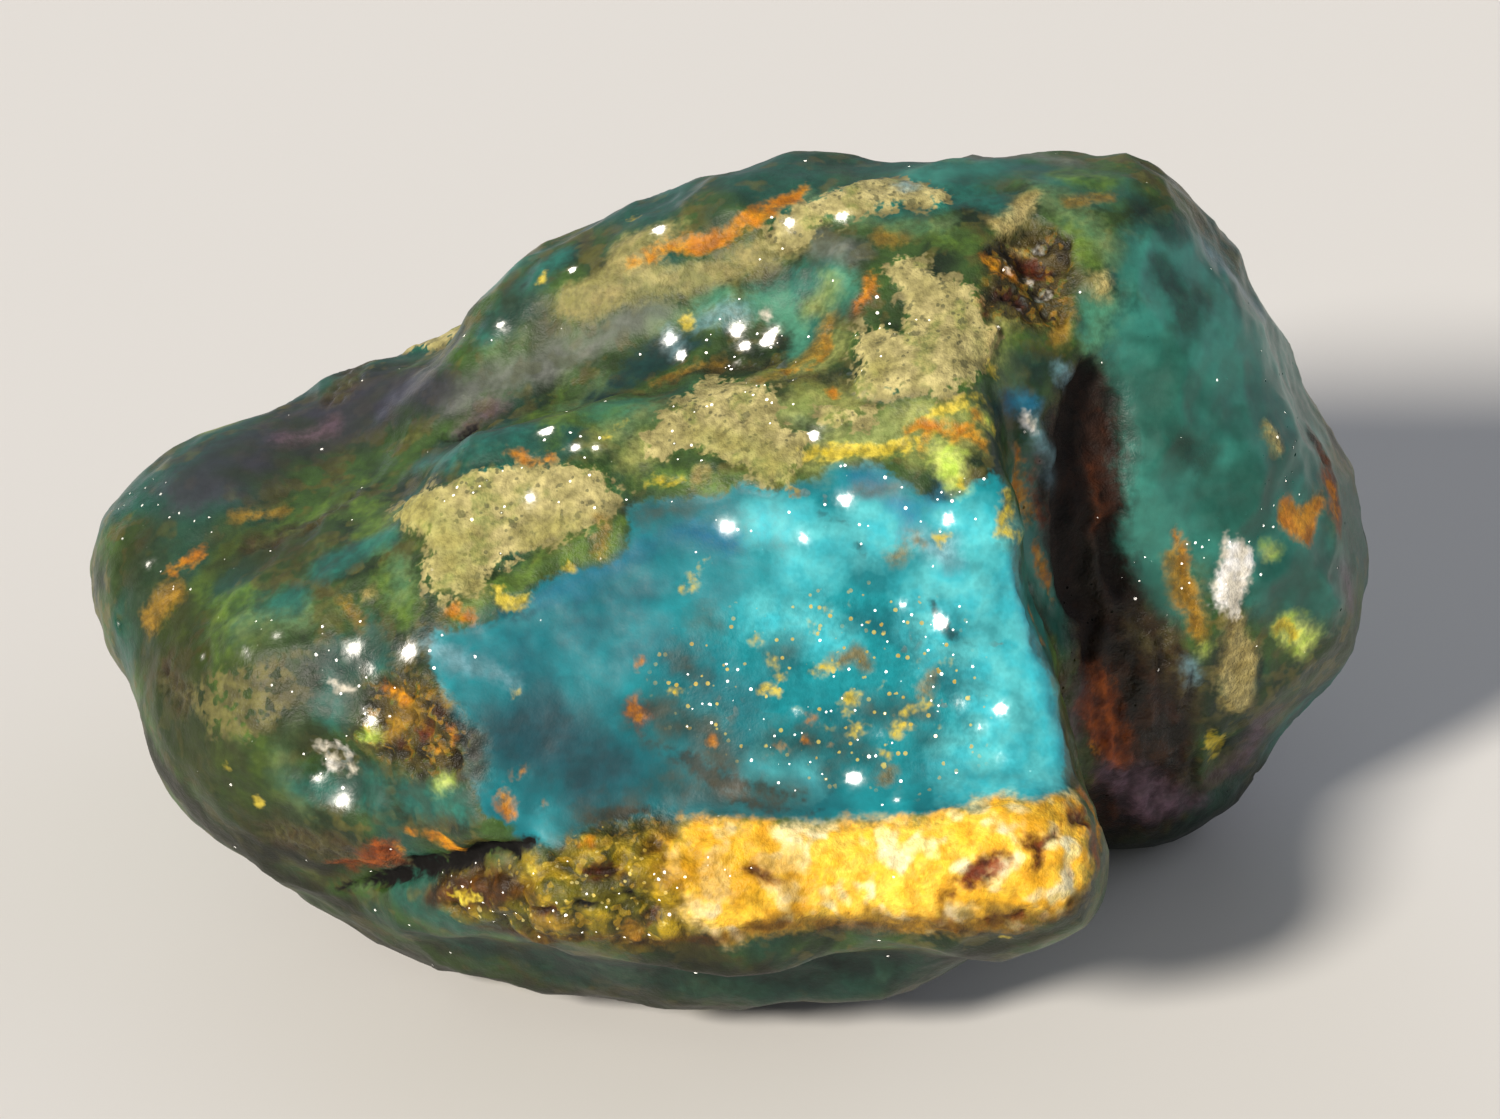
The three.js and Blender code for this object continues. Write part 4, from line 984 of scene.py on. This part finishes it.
# from the first laid to the last: two colours, how they mix, soft edge in mm, cover,
# roughness, clearness, grain, and what breaks the cover up
looks = [
    (None, "#857c38", "#544e22", "mid", 0, .5, .36, .25, .4, "blotch"),
    ("lobeTeal", "#48a898", "#2c7468", "big", .9, .94, .3, .42, .05, None),
    ("fresh", "#2f8676", "#1c5a50", "big", .3, .8, .14, .6, .06, None),
    ("honey", "#7c6a1c", "#3e4a1c", "big", .5, .75, .14, .6, .08, None),
    ("moss", "#729434", "#446a2a", "mid", .35, .85, .4, .36, .3, None),
    ("fern", "#84a06a", "#5b8a5e", "mid", .5, .75, .42, .26, .3, None),
    ("teal", "#2a8b7c", "#22675c", "mid", .45, .85, .38, .44, .2, None),
    ("olive", "#2a3a10", "#343010", "big", 1, .78, .42, .3, .2, None),
    # dusk: painted shade at the foot and under the ledge
    ("footShade", "#1f1f0e", "#11150a", "mid", .9, .95, .5, .12, .3, None),
    ("face", "#14a4b0", "#0e7e8a", "big", .16, 1, .52, .28, .05, None),
    ("slate", "#1d4c59", "#22404a", "mid", 1.4, .9, .5, .3, .1, None),
    ("cyan", "#78f2f8", "#4cdcec", "mid", 1.1, .85, .55, .14, .05, None),
    ("seaBlue", "#0f6f9e", "#1c8cb4", "mid", .45, .85, .5, .3, .1, None),
    ("vein", "#0a2f38", "#123c42", "mid", .18, .88, .5, .2, .1, None),
    ("lagoon", "#047e8c", "#066c7c", "mid", 1, .75, .5, .3, .05, None),
    ("jade", "#5cb08e", "#347c5e", "big", .5, .85, .5, .3, .15, None),
    ("murk", "#2c4038", "#54482c", "mid", .8, .8, .45, .3, .15, None),
    # inkGreen: the stone's dark green; under the ledge it also serves as painted shade
    ("inkGreen", "#15302a", "#22483a", "mid", .5, .85, .52, .25, .3, None),
    # pewter: painted grey sky reflection
    ("greySheen", "#7c7f7a", "#5c6458", "mid", .5, .85, .7, .05, .2, None),
    # bloom: painted sky reflection on the upper left slope
    ("skySheen", "#3c3b47", "#2f362f", "big", .7, .9, .34, .2, .15, None),
    ("deepTeal", "#174c4a", "#0e3838", "mid", .3, .95, .3, .4, .1, None),
    ("cleft", "#40200f", "#140a07", "mid", .6, .96, .35, .1, .6, None),
    ("mud", "#565030", "#42321c", "mid", .45, .8, .32, .2, .6, None),
    # mauve: partly the stone's violet-brown, partly painted sky reflection
    ("mauve", "#84687a", "#5e4852", "mid", .6, .8, .3, .2, .4, None),
    ("earth", "#5c4c1c", "#20180a", "mid", .5, .92, .4, .2, .8, None),
    ("earth", "#a5791f", "#566024", "fine", .4, .75, .25, .25, .7, "cells"),
    ("comb", "#746c12", "#3e3c10", "mid", .5, .92, .3, .35, .7, None),
    ("comb", "#c9a81e", "#8c7c1c", "mid", .4, .85, .32, .3, .6, "patchy"),
    ("comb", "#f6d444", "#dcae28", "mid", .3, .5, .3, .3, .6, "grains"),
    ("comb", "#fff09a", "#ffdc50", "fine", .3, .85, .3, .3, .5, "flecks"),
    ("gold", "#ffd44e", "#ffbe30", "mid", .35, 1, .6, .08, .5, None),
    ("gold", "#fff7cc", "#ffee9c", "mid", .5, .95, .6, .04, .5, "patchy"),
    ("gold", "#f0a010", "#d08208", "fine", .4, .22, .5, .08, .6, "cells"),
    ("wheat", "#d8a610", "#b8860a", "mid", .9, .8, .5, .1, .5, None),
    ("char", "#5a2e06", "#2e1804", "mid", .45, .92, .5, .1, .5, None),
    ("sage", "#b4b868", "#8c9a4c", "mid", .6, .8, .5, .1, .4, None),
    ("drab", "#b0a268", "#8a8650", "mid", .35, .85, .65, .05, .6, None),
    ("duff", "#7a7440", "#585430", "mid", .22, .85, .6, .05, .6, "lace"),
    ("crust", "#bcb178", "#9a925e", "mid", .14, 1, .75, 0, .6, "ragged"),
    ("crust", "#7f8c48", "#918f52", "fine", .25, .7, .7, 0, .6, "blotch"),
    ("crust", "#6a6a48", "#4a4f38", "fine", .2, .7, .6, 0, .6, "dots"),
    ("lichen", "#868c46", "#9c9650", "mid", .6, .6, .7, 0, .6, None),
    ("tan", "#b9a96f", "#9c8b52", "mid", .3, .9, .6, 0, .9, None),
    # mist: pale blue-grey of the stone, partly painted sky reflection and painted glint halo
    ("mistAndSheen", "#8fbccb", "#6f9ea8", "mid", .4, .7, .3, .2, .3, None),
    ("frost", "#9aaaa6", "#5a6e68", "fine", .3, .6, .6, .1, .6, "grains"),
    ("flecks", "#f8ea80", "#e0bc48", "fine", .6, .85, .35, .2, .4, "flecks"),
    ("rust", "#8c4310", "#4b260c", "mid", .3, .88, .5, .1, .8, None),
    ("ember", "#b85a14", "#7c3408", "mid", .4, .85, .6, .08, .5, None),
    ("orange", "#eea212", "#cc7c0c", "mid", .22, .92, .6, .08, .5, None),
    ("ochre", "#b78a26", "#886c22", "mid", .3, .85, .35, .2, .6, None),
    ("lime", "#f4ff86", "#c2e454", "mid", .45, .96, .5, .15, .3, None),
    ("yellow", "#ecd02a", "#f4dc50", "mid", .18, .9, .5, .12, .4, None),
    # chalk: white mineral, and painted sparkle highlights
    ("chalkAndSparkle", "#ffffff", "#f0e8d4", "mid", .18, .98, .6, .03, .5, None),
    ("pit", "#84300e", "#3c1507", "mid", .26, .92, .7, .05, .5, None),
    ("shade", "#0a0706", "#26140b", "mid", .85, .96, .8, .03, .6, None),
    # crack: near black, painted shade in the slit and the cracks
    ("crackShade", "#020202", "#0c0806", "mid", .14, 1, .95, 0, .1, None),
]

class Bench:
    def __init__(self, tree):
        self.nodes, self.links, self.column = tree.nodes, tree.links, 0

    def add(self, kind, **values):
        made = self.nodes.new(kind)
        self.column += 1
        made.location = (self.column % 14 * 190 - 2800, self.column // 14 * -230)
        for name, value in values.items():
            setattr(made, name, value)
        return made

    def feed(self, socket, value):
        if isinstance(value, bpy.types.NodeSocket):
            self.links.new(value, socket)
        else:
            socket.default_value = value

    def work(self, how, a, b):
        made = self.add("ShaderNodeMath", operation=how)
        self.feed(made.inputs[0], a)
        self.feed(made.inputs[1], b)
        return made.outputs[0]

    def sum(self, a, b):
        return self.work("ADD", a, b)

    def times(self, a, b):
        return self.work("MULTIPLY", a, b)

    def most(self, a, b):
        return self.work("MAXIMUM", a, b)

    def blend(self, amount, a, b, how="MIX"):
        made = self.add("ShaderNodeMix", data_type="RGBA", blend_type=how)
        for place, value in ((0, amount), (6, a), (7, b)):
            self.feed(made.inputs[place], value)
        return made.outputs[2]

    def span(self, value, low, high, out=(0, 1), smooth=True, held=False):
        kind = "SMOOTHSTEP" if smooth else "LINEAR"
        made = self.add("ShaderNodeMapRange", interpolation_type=kind, clamp=held)
        for socket, number in zip(made.inputs, (value, low, high, *out)):
            self.feed(socket, number)
        return made.outputs[0]

    def line(self, value, low, high):
        return self.span(value, 0, 1, (low, high), False)

    def cloud(self, place, size, detail=4, rough=0.55, bent=0.0):
        made = self.add("ShaderNodeTexNoise", noise_dimensions="3D")
        self.feed(made.inputs["Vector"], place)
        made.inputs["Scale"].default_value = 1 / stone["sizes"][size]
        made.inputs["Detail"].default_value = detail
        made.inputs["Roughness"].default_value = rough
        made.inputs["Distortion"].default_value = bent
        return made.outputs[0]

    def pebbles(self, place, size):
        made = self.add("ShaderNodeTexVoronoi", voronoi_dimensions="3D")
        self.feed(made.inputs["Vector"], place)
        made.inputs["Scale"].default_value = 1 / stone["sizes"][size]
        tones = self.add("ShaderNodeSeparateColor")
        self.feed(tones.inputs[0], made.outputs["Color"])
        return made.outputs["Distance"], tones.outputs

    def field(self, name):
        return self.add("ShaderNodeAttribute", attribute_name=name).outputs["Fac"]


def breakUps(bench, fine, cellRaw, blotchRaw, dots, flakes):
    # what breaks the cover of a look up, by name
    (dotGap, dotTones), (flakeGap, flakeTones) = dots, flakes
    speck = bench.span(flakeGap, 0.5, 0.36)
    specks = {}
    for name, (tone, low) in stone["specks"].items():
        specks[name] = bench.times(bench.span(flakeTones[tone], low, low + 0.02), speck)
    edges = stone["breaks"]
    made = {name: bench.span(cellRaw, *edges[name]) for name in ("cells", "grains", "lace")}
    for name, (tone, ragged, low, high) in stone["pebbles"].items():
        gap = bench.sum(dotGap, bench.times(dotTones[0], tone))
        gap = bench.sum(gap, bench.line(fine, -ragged, ragged))
        made[name] = bench.most(specks[name], bench.span(gap, low, high))
    for name in ("blotch", "patchy"):
        made[name] = bench.span(blotchRaw, *edges[name])
    return made


def layColours(bench, mm, big, mid, fine, wobble, ragged, breaks):
    mixes, body = {"big": big, "mid": mid, "fine": fine}, stone["body"]
    colour = bench.blend(big, rgba(body["deep"]), rgba(body["moss"]))
    colour = bench.blend(bench.span(mid, 0.55, 1.0, (0, 0.8)), colour, rgba(body["olive"]))
    sea = bench.span(bench.cloud(mm, "sea", 1), 0.52, 0.64)
    colour = bench.blend(sea, colour, rgba(body["sea"]))
    for name, first, second, how, soft, cover, rough, clear, grain, broken in looks:
        if name:
            shore = ragged if broken == "ragged" else wobble
            edge = bench.span(bench.sum(bench.field(name), shore), -soft, soft, (0, cover))
            if broken in breaks:
                edge = bench.times(edge, breaks[broken])
        else:
            edge = bench.times(breaks[broken], cover)
        colour = bench.blend(edge, colour, bench.blend(mixes[how], rgba(first), rgba(second)))
    return colour


def mottleAndHollowShade(bench, colour, fineRaw, cellRaw, grain):
    # fine mottling, weaker where the stone is smooth, with painted shade in the hollows and painted
    # light on the ridges
    mottle = bench.span(bench.sum(fineRaw, cellRaw), 0.72, 1.28, stone["mottle"])
    mottle = bench.times(mottle, bench.span(grain, 0.05, 0.4, (stone["mottleCalm"], 1)))
    mottle = bench.sum(mottle, 1.0)
    pits = bench.add("ShaderNodeNewGeometry").outputs["Pointiness"]
    hollow = bench.span(bench.field("gold"), -0.2, 0.3, stone["hollow"])
    mottle = bench.times(mottle, bench.span(pits, 0.44, 0.54, (hollow, stone["ridge"])))
    grey = bench.add("ShaderNodeCombineColor")
    for socket in grey.inputs[:3]:
        bench.feed(socket, mottle)
    return bench.blend(1.0, colour, grey.outputs[0], "MULTIPLY")


def mirrorFlakes(bench, wobble, flakes):
    # chips, and loose flakes: many where the stone glitters and few elsewhere
    gap, tones = flakes
    polish = bench.sum(bench.field("polish"), bench.times(wobble, 0.6))
    polish = bench.span(polish, -0.32, 0.12, smooth=False, held=True)
    often = bench.span(bench.field("glitter"), -0.9, 0.9, (0, stone["loose"]))
    chosen = bench.span(bench.sum(tones[2], often), 0.994, 0.997)
    small = bench.span(bench.sum(gap, bench.times(tones[0], 0.22)), 0.50, 0.34)
    return bench.most(polish, bench.times(chosen, small))


def mixValue(bench, kind, places, amount, first, second):
    made = bench.add("ShaderNodeMix", data_type=kind)
    for place, value in zip(places, (amount, first, second)):
        bench.feed(made.inputs[place], value)
    return made.outputs


def turnedBump(bench, mm, mirror, grain):
    # chips and flakes are turned to the lamp and bare, the rest is gritty
    surface = bench.add("ShaderNodeNewGeometry").outputs["Normal"]
    turned = mixValue(bench, "VECTOR", (0, 4, 5), mirror, surface, glintWay())[1]
    straight = bench.add("ShaderNodeVectorMath", operation="NORMALIZE")
    bench.feed(straight.inputs[0], turned)
    grit = bench.cloud(mm, "grit", 2, 0.7)
    grit = bench.sum(grit, bench.times(bench.cloud(mm, "coarseGrit", 0), stone["gritCoarse"]))
    strength = bench.times(grain, bench.line(mirror, 1, 0))
    bump = bench.add("ShaderNodeBump")
    bump.inputs["Distance"].default_value = stone["gritDepth"] / 1000
    for name, value in (("Strength", strength), ("Height", grit), ("Normal", straight.outputs[0])):
        bench.feed(bump.inputs[name], value)
    return bump.outputs[0]


def amberFinish():
    finish = bpy.data.materials.new("blue_amber")
    finish.use_nodes = True
    nodes = finish.node_tree.nodes
    bench = Bench(finish.node_tree)
    # a node is made after the nodes it reads, or the shader runs out of room
    spot = bench.add("ShaderNodeTexCoord")
    place = bench.add("ShaderNodeMapping")
    bench.feed(place.inputs["Vector"], spot.outputs["Object"])
    place.inputs["Scale"].default_value = (1000, 1000, 1000)
    mm = place.outputs[0]
    fineRaw, cellRaw = bench.cloud(mm, "fine", 1, 0.6), bench.cloud(mm, "cells", 1, 0.7)
    midRaw, blotchRaw = bench.cloud(mm, "mid", 2, 0.6), bench.cloud(mm, "blotches", 2, 0.65)
    big = bench.span(bench.cloud(mm, "big", 2, 0.6, 0.6), 0.36, 0.64)
    mid, fine = bench.span(midRaw, 0.36, 0.64), bench.span(fineRaw, 0.34, 0.66)
    wobble, ragged = (bench.sum(bench.line(mid, -wide, wide), bench.line(fine, -small, small))
                      for wide, small in (stone["wobble"], stone["ragged"]))
    dots, flakes = bench.pebbles(mm, "dots"), bench.pebbles(mm, "flakes")
    breaks = breakUps(bench, fine, cellRaw, blotchRaw, dots, flakes)
    colour = layColours(bench, mm, big, mid, fine, wobble, ragged, breaks)
    felt = bench.add("ShaderNodeAttribute", attribute_name="feel")
    parts = bench.add("ShaderNodeSeparateXYZ")
    bench.feed(parts.inputs[0], felt.outputs["Vector"])
    rough, clear, grain = parts.outputs
    colour = mottleAndHollowShade(bench, colour, fineRaw, cellRaw, grain)
    mirror = mirrorFlakes(bench, wobble, flakes)
    rough = bench.sum(rough, bench.line(fine, -0.02, 0.04))
    rough = mixValue(bench, "FLOAT", (0, 2, 3), mirror, rough, stone["mirrorRough"])[0]
    normal = turnedBump(bench, mm, mirror, grain)
    shader = nodes["Principled BSDF"]
    for name, value in (("Base Color", colour), ("Roughness", rough), ("Normal", normal),
                        ("Transmission Weight", clear), ("IOR", stone["ior"]),
                        ("Specular IOR Level", stone["shine"])):
        bench.feed(shader.inputs[name], value)
    soak = bench.add("ShaderNodeVolumeAbsorption")
    soak.inputs["Color"].default_value = rgba(stone["tint"])
    soak.inputs["Density"].default_value = stone["tintDensity"]
    bench.feed(nodes["Material Output"].inputs["Volume"], soak.outputs[0])
    return finish


def feelAtPoints(piece, fields):
    # roughness, clearness and grain at each point, laid as the colours are
    ways = readNormals(piece)
    feel = np.tile([stone["rough"], stone["clear"], stone["grain"]], (len(ways), 1))
    for name, first, second, how, soft, cover, rough, clear, grain, broken in looks:
        if name:
            cover = cover * ease(fields[name], -soft, soft)
        if broken not in (None, "ragged"):
            cover = cover * stone["brokenShare"]
        share = np.broadcast_to(cover, len(ways))
        feel += (np.array([rough, clear, grain]) - feel) * share[:, None]
    for way, glare in ((glintWay(), "lamp"), ((0, 0, 1), "sky")):
        first, last, dull = stone["glares"][glare]
        feel[:, 0] += np.maximum(dull - feel[:, 0], 0) * ease(ways @ np.array(way), first, last)
    store = piece.data.attributes.new("feel", "FLOAT_VECTOR", "POINT")
    store.data.foreach_set("vector", feel.astype(np.float32).ravel())


feelAtPoints(amber, fields)
amber.data.materials.append(amberFinish())
print("amber: finish on")

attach(amber, "root")
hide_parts("amber_nugget")
